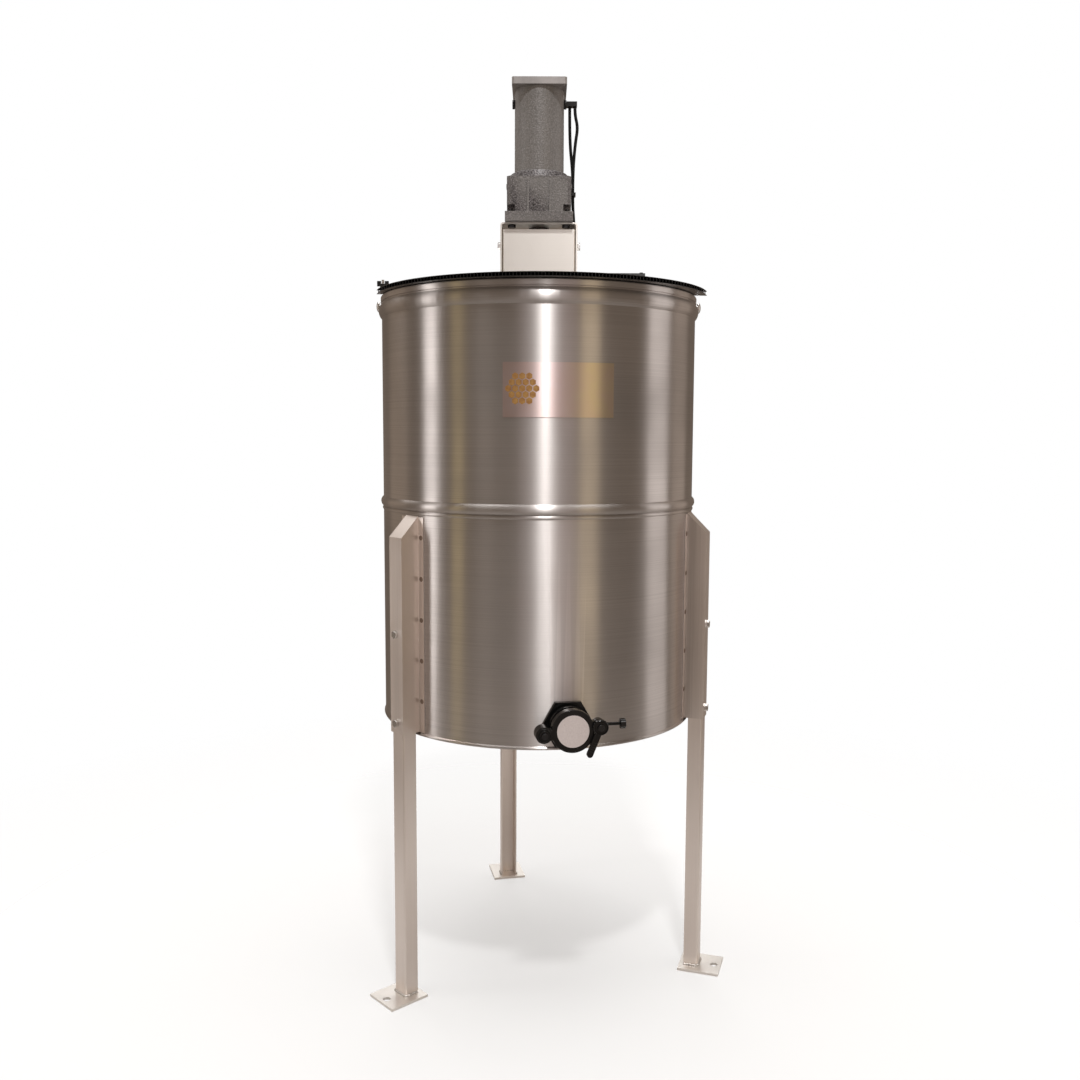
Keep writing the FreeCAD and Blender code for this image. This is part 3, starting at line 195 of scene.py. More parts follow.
def shade(color, factor):
    """A colour made lighter or darker."""
    return tuple(min(1, factor * part) for part in color)


def brushed(name, color, grain, roughness, smear=0.0, deep=0.06 * MM, contrast=0.7):
    """Brushed stainless steel with a painted highlight on its folds; its lines run where the grain's
    frequency is low.
    """
    finish = Finish(name, color, roughness, 1.0)
    if smear:
        finish.smear(smear)
    shadow = shade(color, 0.72)
    lines = finish.noise(grain, 4.0)
    clouds = finish.noise((5, 5, 5), 3.0)
    lined = finish.mixed(finish.between(lines, 0, contrast), color, shadow)
    clouded = finish.mixed(finish.between(clouds, 0, 0.35), lined, shadow)
    # Painted highlight: the convex folds and edges are coloured lighter, as if they caught the light.
    fold_highlight = finish.between(finish.edges(), 0, 0.8, start=0.51, stop=0.56)
    finish.color(finish.mixed(fold_highlight, clouded, shade(color, 1.35)))
    finish.roughness(finish.between(clouds, roughness * 0.85, roughness * 1.2))
    finish.bump(lines, deep, 0.6)
    return finish.material


def machined(name, color, roughness, marks=900):
    """Turned or plated metal with fine tool marks and a few dull patches."""
    finish = Finish(name, color, roughness, 1.0)
    patches = finish.noise((60, 60, 60), 3.0)
    dull = finish.between(patches, 0, 0.5, start=0.45, stop=0.75)
    finish.color(finish.mixed(dull, color, shade(color, 0.7)))
    finish.roughness(finish.between(patches, roughness * 0.8, roughness * 1.6))
    finish.bump(finish.noise((marks, marks, marks)), 0.04 * MM, 0.5)
    return finish.material


def hammered(name, color):
    """Grey hammer-finish enamel: small round puddles with a metallic fleck, worn at the edges."""
    finish = Finish(name, color, 0.5, 0.3, Coat_Weight=0.1, Coat_Roughness=0.4)
    puddles = finish.cells(380)
    fleck = finish.noise((520, 520, 520))
    dark = shade(color, 0.3)
    speckled = finish.mixed(finish.between(fleck, 0, 1, start=0.4, stop=0.6), dark, shade(color, 2.6))
    ringed = finish.mixed(finish.between(puddles, 0, 0.6, start=0.2, stop=0.6), speckled, dark)
    worn = finish.between(finish.edges(), 0, 0.6, start=0.52, stop=0.6)
    finish.color(finish.mixed(worn, ringed, (0.3, 0.29, 0.28)))
    finish.roughness(finish.between(fleck, 0.35, 0.6))
    finish.bump(puddles, 0.8 * MM, 0.6)
    return finish.material


def cast(name, color, roughness, metallic):
    """Sand-cast or blasted metal."""
    finish = Finish(name, color, roughness, metallic)
    grain = finish.noise((700, 700, 700), 3.0)
    stain = finish.noise((25, 25, 25), 3.0)
    finish.color(finish.mixed(finish.between(stain, 0, 0.7), color, shade(color, 0.6)))
    finish.roughness(finish.between(grain, roughness * 0.85, roughness * 1.2))
    finish.bump(grain, 0.2 * MM, 0.5)
    return finish.material


def moulded(name, color, roughness, texture=1500, deep=0.04 * MM, worn=0.03, shine=0.5):
    """Moulded plastic or rubber with a fine texture, and dust and edges of a paler grey."""
    finish = Finish(name, color, roughness, 0.0, Specular_IOR_Level=shine)
    grain = finish.noise((texture, texture, texture))
    dust = finish.noise((40, 40, 40), 4.0)
    pale = (worn, worn, worn)
    dusty = finish.mixed(finish.between(dust, 0, 0.25, start=0.45, stop=0.75), color, pale)
    rubbed = finish.between(finish.edges(), 0, 0.5, start=0.53, stop=0.62)
    finish.color(finish.mixed(rubbed, dusty, pale))
    finish.roughness(finish.between(dust, roughness * 0.85, roughness * 1.35))
    finish.bump(grain, deep, 0.5)
    return finish.material


def lid_sheet():
    """Black twin-wall sheet: the flutes show faintly through the skins, with scuffs and dust."""
    finish = Finish("lid_sheet", (0.012, 0.012, 0.013), 0.3, 0.0, Coat_Weight=0.2, Coat_Roughness=0.2)
    flutes = finish.stripes("X", FLUTE_PITCH)
    dust = finish.noise((18, 30, 18), 5.0)
    scuffs = finish.noise((12, 260, 40), 3.0)
    ribbed = finish.mixed(flutes, (0.008, 0.008, 0.009), (0.022, 0.022, 0.023))
    dusty = finish.between(dust, 0, 0.3, start=0.5, stop=0.8)
    finish.color(finish.mixed(dusty, ribbed, (0.09, 0.085, 0.08)))
    finish.roughness(finish.between(scuffs, 0.22, 0.45))
    finish.bump(flutes, 0.25 * MM, 0.6)
    return finish.material


def label_film():
    """Tinted film over the brushed wall, pink at the left and amber at the right."""
    finish = Finish("label_film", (0.7, 0.5, 0.4), 0.36, 1.0, Coat_Weight=0.12, Coat_Roughness=0.2)
    finish.smear(1.0)
    low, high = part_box("tank_label")
    middle = (low.x + high.x) / 2
    amber_from = middle + 0.6 * (high.x - middle)
    axes = finish.add("ShaderNodeSeparateXYZ")
    finish.link(finish.place, axes.inputs["Vector"])
    across = finish.between(axes.outputs["X"], 0, 1, start=middle, stop=amber_from)
    clouds = finish.noise((28, 28, 28), 3.0)
    tint = finish.mixed(across, (0.68, 0.56, 0.55), (0.7, 0.6, 0.4))
    finish.color(finish.mixed(finish.between(clouds, 0, 0.6), tint, (0.68, 0.52, 0.46)))
    finish.bump(finish.noise((3, 3, 1500), 3.0), 0.02 * MM, 0.5)
    return finish.material


def honey_print():
    """Amber ink of the comb pattern on the label, lighter and darker in patches."""
    finish = Finish("honey_print", (0.5, 0.24, 0.05), 0.4, 0.5)
    patches = finish.noise((160, 160, 160), 3.0)
    finish.color(finish.mixed(finish.between(patches, 0, 1), (0.6, 0.36, 0.12), (0.42, 0.2, 0.07)))
    return finish.material


def paper():
    """The gate's white label, without any print."""
    finish = Finish("label_paper", (0.78, 0.72, 0.72), 0.5, 0.0)
    fibres = finish.noise((500, 500, 500), 4.0)
    finish.color(finish.mixed(finish.between(fibres, 0, 1), (0.8, 0.74, 0.74), (0.7, 0.64, 0.64)))
    finish.bump(fibres, 0.03 * MM, 0.5)
    return finish.material


FINISHES = {
    "wall": brushed("wall_steel", (0.62, 0.582, 0.562), (3, 3, 1500), 0.36, smear=1.0, deep=0.02 * MM),
    "upright": brushed("upright_steel", (0.7, 0.64, 0.6), (420, 420, 4), 0.33),
    "plate": brushed("plate_steel", (0.75, 0.72, 0.69), (4, 420, 420), 0.42),
    "bracket": brushed("bracket_steel", (0.66, 0.63, 0.59), (4, 4, 2200), 0.35, smear=0.7,
                       deep=0.006 * MM, contrast=0.3),
    "reel": brushed("reel_steel", (0.64, 0.63, 0.61), (4, 500, 500), 0.32),
    "machined": machined("machined_steel", (0.62, 0.61, 0.6), 0.25),
    "scorched": machined("scorched_steel", (0.3, 0.24, 0.2), 0.4, marks=500),
    "weld": machined("weld_steel", (0.6, 0.57, 0.54), 0.35, marks=500),
    "bright": machined("bright_plate", (0.72, 0.71, 0.7), 0.14, marks=500),
    "dark_bolt": machined("black_oxide", (0.05, 0.05, 0.052), 0.3, marks=500),
    "gear": machined("oiled_gear", (0.28, 0.27, 0.26), 0.2),
    "hammered": hammered("hammer_enamel", (0.118, 0.108, 0.11)),
    "aluminium": cast("cast_aluminium", (0.46, 0.44, 0.435), 0.5, metallic=0.7),
    "bearing": cast("painted_casting", (0.12, 0.125, 0.13), 0.5, metallic=0.2),
    "box": cast("powder_coat", (0.11, 0.115, 0.12), 0.48, metallic=0.1),
    "gate": moulded("gate_plastic", (0.005, 0.005, 0.005), 0.16, worn=0.015, shine=0.45),
    "black": moulded("black_plastic", (0.008, 0.008, 0.008), 0.35, shine=0.4),
    "board": moulded("circuit_board", (0.02, 0.12, 0.05), 0.4, texture=300, deep=0.1 * MM),
    "rubber": moulded("cable_rubber", (0.004, 0.004, 0.004), 0.5, texture=700, deep=0.08 * MM,
                      worn=0.012, shine=0.25),
    "lid": lid_sheet(),
    "film": label_film(),
    "print": honey_print(),
    "paper": paper(),
}


# ---- building meshes and curves -----------------------------------------------------------------

SAME_SPOT = 0.01 * MM  # vertices of a CAD mesh closer than this are joined
FLAT_ANGLE = 0.4  # degrees: faces that turn by less become one
SHARP_ANGLE = 35  # degrees: edges that turn by more are rounded


def piece(name, shape, finish, body, smooth=40):
    """A mesh piece from a bmesh, smooth up to an angle, riding on a body."""
    mesh = bpy.data.meshes.new(name)
    shape.to_mesh(mesh)
    shape.free()
    mesh.shade_smooth()
    mesh.set_sharp_from_angle(angle=math.radians(smooth))
    obj = bpy.data.objects.new(name, mesh)
    bpy.context.scene.collection.objects.link(obj)
    mesh.materials.append(FINISHES[finish])
    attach(obj, body)
    return obj


def flatten_normals(obj):
    """Keep the flat faces flat beside rounded edges."""
    weighted = obj.modifiers.new("flat_faces", "WEIGHTED_NORMAL")
    weighted.keep_sharp = True
    weighted.weight = 80


def soften(node, width, finish):
    """A copy of a CAD node with its sharp edges rounded, which stands for it."""
    shape = bmesh.new()
    shape.from_mesh(frame["nodes"][node].data)
    bmesh.ops.remove_doubles(shape, verts=shape.verts, dist=SAME_SPOT)
    bmesh.ops.dissolve_limit(shape, angle_limit=math.radians(FLAT_ANGLE), verts=shape.verts,
                             edges=shape.edges)
    sharp = [edge for edge in shape.edges
             if len(edge.link_faces) == 2 and edge.calc_face_angle() > math.radians(SHARP_ANGLE)]
    bmesh.ops.bevel(shape, geom=sharp, offset=width, offset_type="OFFSET", segments=2, profile=0.5,
                    affect="EDGES", clamp_overlap=True)
    body = body_of(frame["nodes"][node])[0]
    obj = piece(f"{node}_rounded", shape, finish, body, smooth=55)
    flatten_normals(obj)
    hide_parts(node)


def dress(node, finish):
    """A CAD node as it is, with a better material."""
    mesh = frame["nodes"][node].data
    mesh.materials.clear()
    mesh.materials.append(FINISHES[finish])


def loft(shape, rings):
    """A closed solid through rings of points: quads from ring to ring and a face at each end."""
    rings = [[shape.verts.new(point) for point in ring] for ring in rings]
    count = len(rings[0])
    for low, high in zip(rings, rings[1:]):
        for step in range(count):
            after = (step + 1) % count
            shape.faces.new((low[step], low[after], high[after], high[step]))
    shape.faces.new(rings[0][::-1])
    shape.faces.new(rings[-1])


def lathe(shape, profile, matrix, count=48, lobes=0, dent=0.0):
    """Turn a profile of (radius, height) about the matrix's Z axis, dented between any lobes."""
    rings = []
    for radius, height in profile:
        ring = []
        for step in range(count):
            angle = 2 * math.pi * step / count
            reach = radius * (1 - dent * (0.5 + 0.5 * math.cos(angle * lobes)))
            ring.append(matrix @ Vector((reach * math.cos(angle), reach * math.sin(angle), height)))
        rings.append(ring)
    loft(shape, rings)


def prism(shape, outline, low, high):
    """An upright prism on an outline of (x, y)."""
    loft(shape, [[(x, y, level) for x, y in outline] for level in (low, high)])


def round_bar(name, points, kind, radius, resolution):
    """A curve for a round bar, with one spline through these points."""
    curve = bpy.data.curves.new(name, "CURVE")
    curve.dimensions = "3D"
    curve.bevel_depth = radius
    curve.bevel_resolution = resolution
    curve.use_fill_caps = True
    spline = curve.splines.new(kind)
    spline.points.add(len(points) - 1)
    for control, point in zip(spline.points, points):
        control.co = (*point, 1)
    return curve


def place_curve(curve, finish):
    """A finished curve as a piece with the curve's name, riding on the tank."""
    curve.materials.append(FINISHES[finish])
    obj = bpy.data.objects.new(curve.name, curve)
    bpy.context.scene.collection.objects.link(obj)
    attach(obj, "tank")
    return obj


def azimuth_matrix(azimuth, radius, height):
    """A place on a cylinder about +Z: local X points outward, local Y round it and local Z up."""
    turn = Matrix.Rotation(math.radians(azimuth), 4, "Z")
    return turn @ Matrix.Translation((radius, 0, height))


def turned_box(node, azimuth):
    """A CAD node's lowest and highest corners in axes whose X points to an azimuth."""
    back = azimuth_matrix(azimuth, 0, 0).inverted()
    spots = [back @ vertex.co for vertex in frame["nodes"][node].data.vertices]
    low = Vector([min(spot[axis] for spot in spots) for axis in range(3)])
    high = Vector([max(spot[axis] for spot in spots) for axis in range(3)])
    return low, high


OUTWARD = Matrix.Rotation(math.radians(90), 4, "Y")  # turns a lathed piece's axis to point outward


# ---- lids ---------------------------------------------------------------------------------------


def lid_outline(middle, near, radius, sign, count=120):
    """The outline of a lid: an arc whose ends are joined by the straight edge at near."""
    start = math.asin(abs(near) / radius)
    arc = []
    for step in range(count + 1):
        angle = start + (math.pi - 2 * start) * step / count
        arc.append((middle + radius * math.cos(angle), sign * radius * math.sin(angle)))
    return arc if sign > 0 else arc[::-1]


def make_lid(side, sign):
    """A half-round lid of twin-wall sheet: two skins with a web at every flute."""
    low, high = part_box(f"{side}_lid")
    middle = (low.x + high.x) / 2
    near = high.y if sign < 0 else low.y
    radius = max(abs(low.y), abs(high.y))
    skin = 0.8 * MM
    half_web = 0.35 * MM
    inset = 0.3 * MM
    outline = lid_outline(middle, near, radius, sign)
    shape = bmesh.new()
    prism(shape, outline, low.z, low.z + skin)
    prism(shape, outline, high.z - skin, high.z)
    flutes = int(math.sqrt(radius ** 2 - near ** 2) / FLUTE_PITCH)
    for flute in range(-flutes, flutes + 1):
        x = flute * FLUTE_PITCH
        far = sign * (math.sqrt(radius ** 2 - x ** 2) - inset)
        first, last = sorted((near, far))
        left = middle + x - half_web
        right = middle + x + half_web
        web = [(left, first), (right, first), (right, last), (left, last)]
        prism(shape, web, low.z + skin, high.z - skin)
    obj = piece(f"{side}_lid_sheet", shape, "lid", f"{side}_lid", smooth=30)
    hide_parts(f"{side}_lid")


# ---- welds and fasteners ------------------------------------------------------------------------


def make_spot_welds():
    """Shallow rings where the pocket flanges are spot-welded to the wall."""
    flange_face = WALL + 1.6 * MM
    flange_turn = 4.9
    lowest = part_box("leg_pockets")[0].z + 58 * MM
    pitch = 75 * MM
    profile = [(4.8 * MM, -0.2 * MM), (4.4 * MM, 0.35 * MM), (3.6 * MM, 0.6 * MM), (2.6 * MM, 0.25 * MM),
               (0.4 * MM, 0.15 * MM)]
    shape = bmesh.new()
    for azimuth in LEG_AZIMUTHS:
        for turn in (-flange_turn, flange_turn):
            for level in range(5):
                place = azimuth_matrix(azimuth + turn, flange_face, lowest + level * pitch)
                lathe(shape, profile, place @ OUTWARD, 20)
    piece("spot_welds", shape, "scorched", "tank")


def foot_outline():
    """The outside of a leg's channel in the leg's own axes, from one lip round its web to the other."""
    outer = turned_box("legs", LEG_AZIMUTHS[0])[1].x
    inner = outer - 28 * MM
    half = 17.2 * MM
    bend = 4 * MM
    cut = 1.2 * MM
    side = [(inner, -half), (outer - bend, -half), (outer - cut, cut - half), (outer, bend - half)]
    return side + [(x, -y) for x, y in reversed(side)]


def stepped(outline, pitch):
    """Points along an outline, about a pitch apart."""
    points = []
    for (x0, y0), (x1, y1) in zip(outline, outline[1:]):
        steps = max(1, round(math.hypot(x1 - x0, y1 - y0) / pitch))
        points += [(x0 + (x1 - x0) * i / steps, y0 + (y1 - y0) * i / steps) for i in range(steps)]
    return points


def make_foot_welds():
    """A fillet weld round the foot of each leg, rippled as the torch moved along."""
    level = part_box("foot_plates")[1].z + 0.3 * MM
    bead = 3 * MM
    points = stepped(foot_outline(), pitch=1.2 * MM)
    for index, azimuth in enumerate(LEG_AZIMUTHS):
        turn = azimuth_matrix(azimuth, 0, level)
        spots = [turn @ Vector((x, y, 0)) for x, y in points]
        curve = round_bar(f"foot_weld_{index}", spots, "POLY", bead, resolution=3)
        for step, control in enumerate(curve.splines[0].points):
            ripple = math.sin(step * 1.9)
            wobble = noise.noise(Vector((step * 0.35, index, 0)))
            control.radius = 1 + 0.14 * ripple + 0.25 * wobble
        place_curve(curve, "weld")


def make_rim_bolts():
    """The two bright domed bolts that hold the crossbar to the wall."""
    low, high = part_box("rim_bolts")
    level = (low.z + high.z) / 2
    radius = (high.z - low.z) / 2
    collar = 2 * MM
    rise = 5 * MM
    seat = high.x - collar - rise
    profile = [(radius - 1 * MM, 0), (radius, 0.5 * MM), (radius, collar)]
    for step in range(1, 9):
        angle = math.pi / 2 * step / 9
        profile.append((radius * math.cos(angle), collar + rise * math.sin(angle)))
    shank = [(5 * MM, -25 * MM), (5 * MM, 0.1 * MM)]
    shape = bmesh.new()
    for azimuth in (0, 180):
        place = azimuth_matrix(azimuth, seat, level) @ OUTWARD
        lathe(shape, profile, place)
        lathe(shape, shank, place, 24)
    obj = piece("rim_bolt_domes", shape, "bright", "tank")
    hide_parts("rim_bolts")


# ---- gate ---------------------------------------------------------------------------------------

GATE_LEVEL = sum(corner.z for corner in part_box("gate_label")) / 2
BLADE_FACE = turned_box("gate_label", GATE_AZIMUTH)[0].x
LEVER_FACE = turned_box("gate_lever", GATE_AZIMUTH)[1].x
EAR_ACROSS = -50 * MM  # the blade's pivot, from the gate's axis
EAR_RISE = -5 * MM
HUB_ACROSS = 47 * MM  # the lever's pivot, from the gate's axis
HUB_RISE = 6.5 * MM
LEVER_LEAN = math.radians(22)


def gate_place(out, across, rise):
    """A place on the gate: local X points outward, local Y to the right and local Z up."""
    return azimuth_matrix(GATE_AZIMUTH, 0, GATE_LEVEL) @ Matrix.Translation((out, across, rise))


def make_thumb_screw():
    """The gate's thumb screw: a threaded rod and a lobed head."""
    low, high = turned_box("gate_thumb_screw", GATE_AZIMUTH)
    start = gate_place((low.x + high.x) / 2, low.y, HUB_RISE)
    place = start @ Matrix.Rotation(math.radians(-90), 4, "X")
    head_radius = 9 * MM
    head_length = 10 * MM
    rod_length = high.y - low.y - head_length
    pitch = 1 * MM
    rod = []
    for turn in range(round(rod_length / pitch) + 1):
        rod += [(2.7 * MM, turn * pitch), (3 * MM, (turn + 0.35) * pitch), (3 * MM, (turn + 0.6) * pitch)]
    head = [(scale * head_radius, rod_length + rise * head_length)
            for scale, rise in ((0.88, 0), (1, 0.08), (1, 0.92), (0.9, 1), (0.5, 1))]
    shape = bmesh.new()
    lathe(shape, rod, place, 20)
    lathe(shape, head, place, 64, lobes=8, dent=0.09)
    obj = piece("thumb_screw", shape, "gate", "gate_thumb_screw")
    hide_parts("gate_thumb_screw")


def make_gate_details():
    """Moulded rings on the blade's ear and the lever's hub, and grip ribs on the lever."""
    ring = [(12 * MM, -0.4 * MM), (12 * MM, 0.6 * MM), (11.4 * MM, 1.2 * MM), (10.4 * MM, 1.2 * MM),
            (9.8 * MM, 0.4 * MM), (9.6 * MM, -0.4 * MM)]
    shape = bmesh.new()
    lathe(shape, ring, gate_place(BLADE_FACE, EAR_ACROSS, EAR_RISE) @ OUTWARD)
    piece("blade_ear_ring", shape, "gate", "gate_blade")
    shape = bmesh.new()
    hub_ring = [(1.08 * radius, height) for radius, height in ring]
    lathe(shape, hub_ring, gate_place(LEVER_FACE, HUB_ACROSS, HUB_RISE) @ OUTWARD)
    rib = [(0.3 * MM, -4.4 * MM), (0.9 * MM, -3.8 * MM), (0.9 * MM, 3.8 * MM), (0.3 * MM, 4.4 * MM)]
    across = Matrix.Rotation(-LEVER_LEAN - math.radians(90), 4, "X")
    for index in range(5):
        reach = (28 + 4 * index) * MM
        place = gate_place(LEVER_FACE, HUB_ACROSS - reach * math.sin(LEVER_LEAN),
                           HUB_RISE - reach * math.cos(LEVER_LEAN))
        lathe(shape, rib, place @ across, 16)
    piece("lever_ribs", shape, "gate", "gate_lever")


# ---- label --------------------------------------------------------------------------------------


def make_comb_print():
    """A generic patch of honeycomb printed at the label's left end."""
    low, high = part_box("tank_label")
    surface = WALL + 0.62 * MM
    ink = 0.12 * MM
    cell = 12 * MM
    patch_azimuth = -95
    patch_level = (low.z + high.z) / 2 + 2 * MM
    patch_reach = 2.3
    spots = [(column + (row % 2) / 2, row) for row in range(-2, 3) for column in range(-2, 3)]
    shape = bmesh.new()
    for column, row in spots:
        if math.hypot(column, row) > patch_reach:
            continue
        azimuth = patch_azimuth + math.degrees(column * cell / surface)
        level = patch_level + row * cell * 0.87
        corners = []
        for step in range(6):
            angle = math.radians(60 * step + 30)
            turn = math.degrees(cell / 2 * math.cos(angle) / surface)
            spot = azimuth_matrix(azimuth + turn, surface, level + cell / 2 * math.sin(angle))
            corners.append(spot.translation)
        outward = azimuth_matrix(azimuth, ink, 0).translation
        loft(shape, [[corner - outward for corner in corners], [corner + outward for corner in corners]])
    piece("comb_print", shape, "print", "tank")


# ---- leads --------------------------------------------------------------------------------------

# Heights and routes in millimetres: from the motor's gland past the gearbox to the sleeve that
# gathers the two leads, and from the sleeve to the gland of the control box.
GLAND = 1682
GEARBOX = 1450
SLEEVE = 1412
REAR_LEAD = [
    (59, 22, GLAND), (59, 22, GLAND - 64), (66, 24, GLAND - 122), (66, 24, GEARBOX + 47),
    (69, 44, GEARBOX + 26), (70, 66, GEARBOX + 10), (60, 70, GEARBOX - 16), (60, 70, SLEEVE),
]
FRONT_LEAD = [
    (69, 16, GLAND), (69, 16, GLAND - 15), (75, 15.5, GLAND - 39), (70, 15, GLAND - 70),
    (66, 15, GLAND - 120), (66, 15, GEARBOX + 42), (69, 35, GEARBOX + 17), (71, 60, GEARBOX + 2),
    (67, 70, GEARBOX - 18), (67, 70, SLEEVE),
]
BOX_CABLE = [
    (63.5, 70, 1385), (63.5, 70, 1364), (74, 70.5, 1347), (94, 70.5, 1339), (114, 67, 1337),
    (125, 50, 1337), (125, 34, 1337),
]


def make_cord(name, route, diameter):
    """A lead as one smooth line along its route, from one fitting to another."""
    points = [tuple(MM * part for part in place) for place in route]
    curve = round_bar(name, points, "NURBS", diameter / 2, resolution=6)
    curve.resolution_u = 16
    curve.splines[0].order_u = 3
    curve.splines[0].use_endpoint_u = True
    obj = place_curve(curve, "rubber")
    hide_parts("motor_leads")


def make_leads():
    """The motor's two leads and the cable on to the control box."""
    make_cord("motor_lead_rear", REAR_LEAD, 6 * MM)
    make_cord("motor_lead_front", FRONT_LEAD, 6 * MM)
    make_cord("box_cable", BOX_CABLE, 6.8 * MM)


# ---- the CAD nodes ------------------------------------------------------------------------------

# The nodes whose edges are rounded, each with its edge width in millimetres and its finish.
ROUNDED = {
    "leg_pockets": (0.9, "upright"), "foot_plates": (0.8, "plate"), "motor_bracket": (0.4, "bracket"),
    "guard_plate": (0.3, "bracket"), "crossbar": (0.4, "plate"), "gearbox_housing": (1.4, "hammered"),
    "gearbox_adapter": (0.8, "hammered"), "motor_end_cap": (1.2, "aluminium"),
    "brush_caps": (0.7, "black"), "cable_fittings": (0.7, "black"), "gate_body": (0.8, "gate"),
    "gate_blade": (0.9, "gate"), "gate_lever": (1.0, "gate"), "gate_lock_nut": (0.7, "gate"),
    "hex_bolts": (0.6, "bright"), "hex_nuts": (0.4, "bright"), "machine_screws": (0.5, "dark_bolt"),
    "top_bearing": (0.8, "bearing"), "lid_wing_nut": (0.6, "black"), "control_box": (0.8, "box"),
    "control_box_cover": (0.5, "box"), "speed_knob": (0.6, "black"), "rocker": (0.5, "black"),
    "coupling": (0.4, "machined"),
}
# The nodes that keep their CAD shape, by finish.
DRESSED = {
    "wall": ["tank_wall", "tank_bottom"],
    "upright": ["legs"],
    "machined": ["bottom_cup", "bottom_ball", "front_lid_leaf", "rear_lid_leaf", "hinge_fixed_leaves",
                 "hinge_pins", "countershaft", "output_shaft", "armature_shaft", "reel_shaft"],
    "gear": ["output_wheel", "motor_pinion", "counter_gears", "motor_magnets", "armature_core"],
    "hammered": ["motor_housing"],
    "reel": ["reel_hubs", "reel_hoops", "reel_bed_channels", "reel_guide_channels", "reel_comb_ring",
             "reel_spokes", "reel_uprights"],
    "rubber": ["gate_gasket"],
    "black": ["brushes"],
    "board": ["control_board"],
    "film": ["tank_label"],
    "paper": ["gate_label"],
}


def blacken(obj, low, high):
    """Give the faces of a piece between two heights the black finish, darker than the rest of the piece.
    """
    obj.data.materials.append(FINISHES["dark_bolt"])
    for face in obj.data.polygons:
        if low < face.center.z < high:
            face.material_index = 1


def dress_frame():
    """Round the edges of the visible castings, plates and fasteners; give every other node a finish."""
    for node, (width, finish) in ROUNDED.items():
        soften(node, width * MM, finish)
    # The bolt heads in the gap under the gearbox's foot are coloured black; the node's other bolts stay
    # bright.
    under_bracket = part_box("guard_plate")[1].z - 10 * MM
    gearbox_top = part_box("gearbox_housing")[1].z
    blacken(bpy.data.objects["hex_bolts_rounded"], under_bracket, gearbox_top)
    for finish, names in DRESSED.items():
        for node in names:
            dress(node, finish)


# ---- studio -------------------------------------------------------------------------------------


def softbox(name, azimuth, distance, height, size, radiance, color=(1, 1, 1), aim=1.0):
    """An area light at an azimuth from the camera's side, turned toward the tank's axis."""
    light = bpy.data.lights.new(name, "AREA")
    light.shape = "RECTANGLE"
    light.size, light.size_y = size
    light.energy = math.pi * size[0] * size[1] * radiance
    light.color = color
    obj = bpy.data.objects.new(name, light)
    angle = math.radians(azimuth)
    obj.location = (distance * math.sin(angle), -distance * math.cos(angle), height)
    toward = Vector((0, 0, aim)) - obj.location
    obj.rotation_mode = "QUATERNION"
    obj.rotation_quaternion = toward.to_track_quat("-Z", "Y")
    bpy.context.scene.collection.objects.link(obj)
    obj.visible_camera = False


# Each strip's name, azimuth from the camera's side, width, radiance and colour.
STRIPS = [
    ("left_far", -118, 1.3, 0.14, (1, 0.8, 0.62)),
    ("left_strip", -79, 0.5, 2.2, (1, 0.97, 0.96)),
    ("left_brown", -56, 0.4, 0.4, (1, 0.8, 0.36)),
    ("left_middle", -36, 0.5, 0.08, (1, 0.9, 0.8)),
    ("left_shoulder", -6, 0.6, 0.18, (1, 0.86, 0.9)),
    ("front_strip", 5, 0.14, 1.9, (1, 0.98, 0.98)),
    ("right_shoulder", 17, 0.8, 0.28, (1, 0.82, 0.83)),
    ("warm_strip", 35, 0.6, 0.75, (1, 0.82, 0.55)),
    ("right_strip", 92, 1.0, 1.0, (1, 0.95, 0.93)),
    ("right_far", 120, 1.0, 0.28, (1, 0.86, 0.76)),
]


def make_lights():
    """A small key high in front, a top light, and dim upright strips that draw the wall's streaks."""
    softbox("key", azimuth=7, distance=2.9, height=5.4, size=(0.4, 0.4), radiance=260, aim=1.3)
    softbox("top", azimuth=0, distance=-0.5, height=4.6, size=(4.2, 3.4), radiance=3.6)
    softbox("front_fill", azimuth=0, distance=2.8, height=2.1, size=(0.9, 0.6), radiance=0.45, aim=1.4)
    for name, azimuth, width, radiance, color in STRIPS:
        softbox(name, azimuth, distance=2.6, height=1.35, size=(width, 2.7), radiance=radiance,
                color=color, aim=1.35)
    softbox("rear_left_fill", azimuth=-132, distance=2.6, height=2.8, size=(1.1, 0.8), radiance=1.1)
    softbox("rear_fill", azimuth=180, distance=3.0, height=2.4, size=(1.8, 1.6), radiance=1.9)


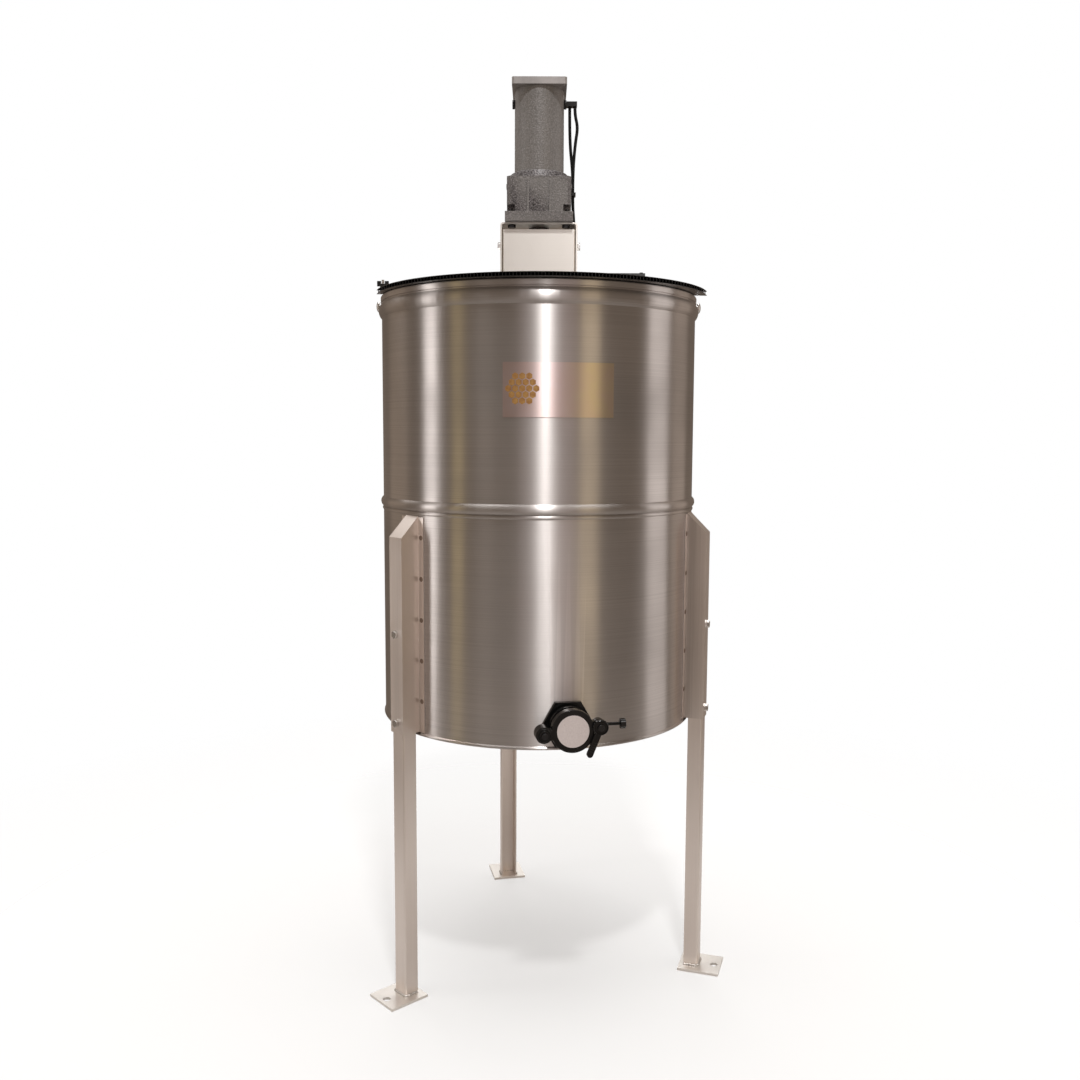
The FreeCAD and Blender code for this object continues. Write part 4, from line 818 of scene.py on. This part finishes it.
def make_world():
    """A warm grey room for reflections behind a white backdrop for the camera."""
    world = bpy.data.worlds.new("studio")
    world.use_nodes = True
    bpy.context.scene.world = world
    tree = world.node_tree
    room = tree.nodes["Background"]
    room.inputs["Color"].default_value = (0.21, 0.168, 0.135, 1)
    white = tree.nodes.new("ShaderNodeBackground")
    white.inputs["Color"].default_value = (1, 1, 1, 1)
    path = tree.nodes.new("ShaderNodeLightPath")
    mix = tree.nodes.new("ShaderNodeMixShader")
    tree.links.new(path.outputs["Is Camera Ray"], mix.inputs["Fac"])
    tree.links.new(room.outputs["Background"], mix.inputs[1])
    tree.links.new(white.outputs["Background"], mix.inputs[2])
    tree.links.new(mix.outputs["Shader"], tree.nodes["World Output"].inputs["Surface"])


def make_floor():
    """A plain pale floor that fades into the backdrop with its distance from the tank."""
    shape = bmesh.new()
    bmesh.ops.create_circle(shape, cap_ends=True, radius=5, segments=96)
    mesh = bpy.data.meshes.new("floor")
    shape.to_mesh(mesh)
    shape.free()
    floor = bpy.data.objects.new("floor", mesh)
    bpy.context.scene.collection.objects.link(floor)
    floor.location.z = -0.1 * MM
    finish = Finish("pale_floor", (0.86, 0.86, 0.86), 0.7)
    radial = finish.add("ShaderNodeVectorMath", operation="LENGTH")
    finish.link(finish.place, radial.inputs[0])
    fade = finish.between(radial.outputs["Value"], 0.5, 1, start=0.6, stop=1.9)
    clear = finish.add("ShaderNodeBsdfTransparent")
    mix = finish.add("ShaderNodeMixShader")
    finish.link(fade, mix.inputs["Fac"])
    finish.link(finish.shader.outputs["BSDF"], mix.inputs[1])
    finish.link(clear.outputs["BSDF"], mix.inputs[2])
    finish.link(mix.outputs["Shader"], finish.tree.nodes["Material Output"].inputs["Surface"])
    mesh.materials.append(finish.material)


def make_camera():
    """The camera stands just above the tank's middle and looks slightly down."""
    spot = (0.0047, -2.1054, 1.0484)
    look_down = math.radians(5.74)
    lean = math.radians(0.25)
    data = bpy.data.cameras.new("camera")
    data.lens = 35.09
    data.sensor_width = 36
    camera = bpy.data.objects.new("camera", data)
    pitch = Matrix.Rotation(math.radians(90) - look_down, 4, "X")
    roll = Matrix.Rotation(lean, 4, "Z")
    camera.matrix_world = Matrix.Translation(spot) @ pitch @ roll
    bpy.context.scene.collection.objects.link(camera)
    bpy.context.scene.camera = camera


# ---- the scene ----------------------------------------------------------------------------------

make_camera()
make_leads()
dress_frame()
make_lid("front", -1)
make_lid("rear", 1)
make_spot_welds()
make_foot_welds()
make_rim_bolts()
make_thumb_screw()
make_gate_details()
make_comb_print()
make_lights()
make_world()
make_floor()
bpy.context.scene.view_settings.view_transform = "Standard"
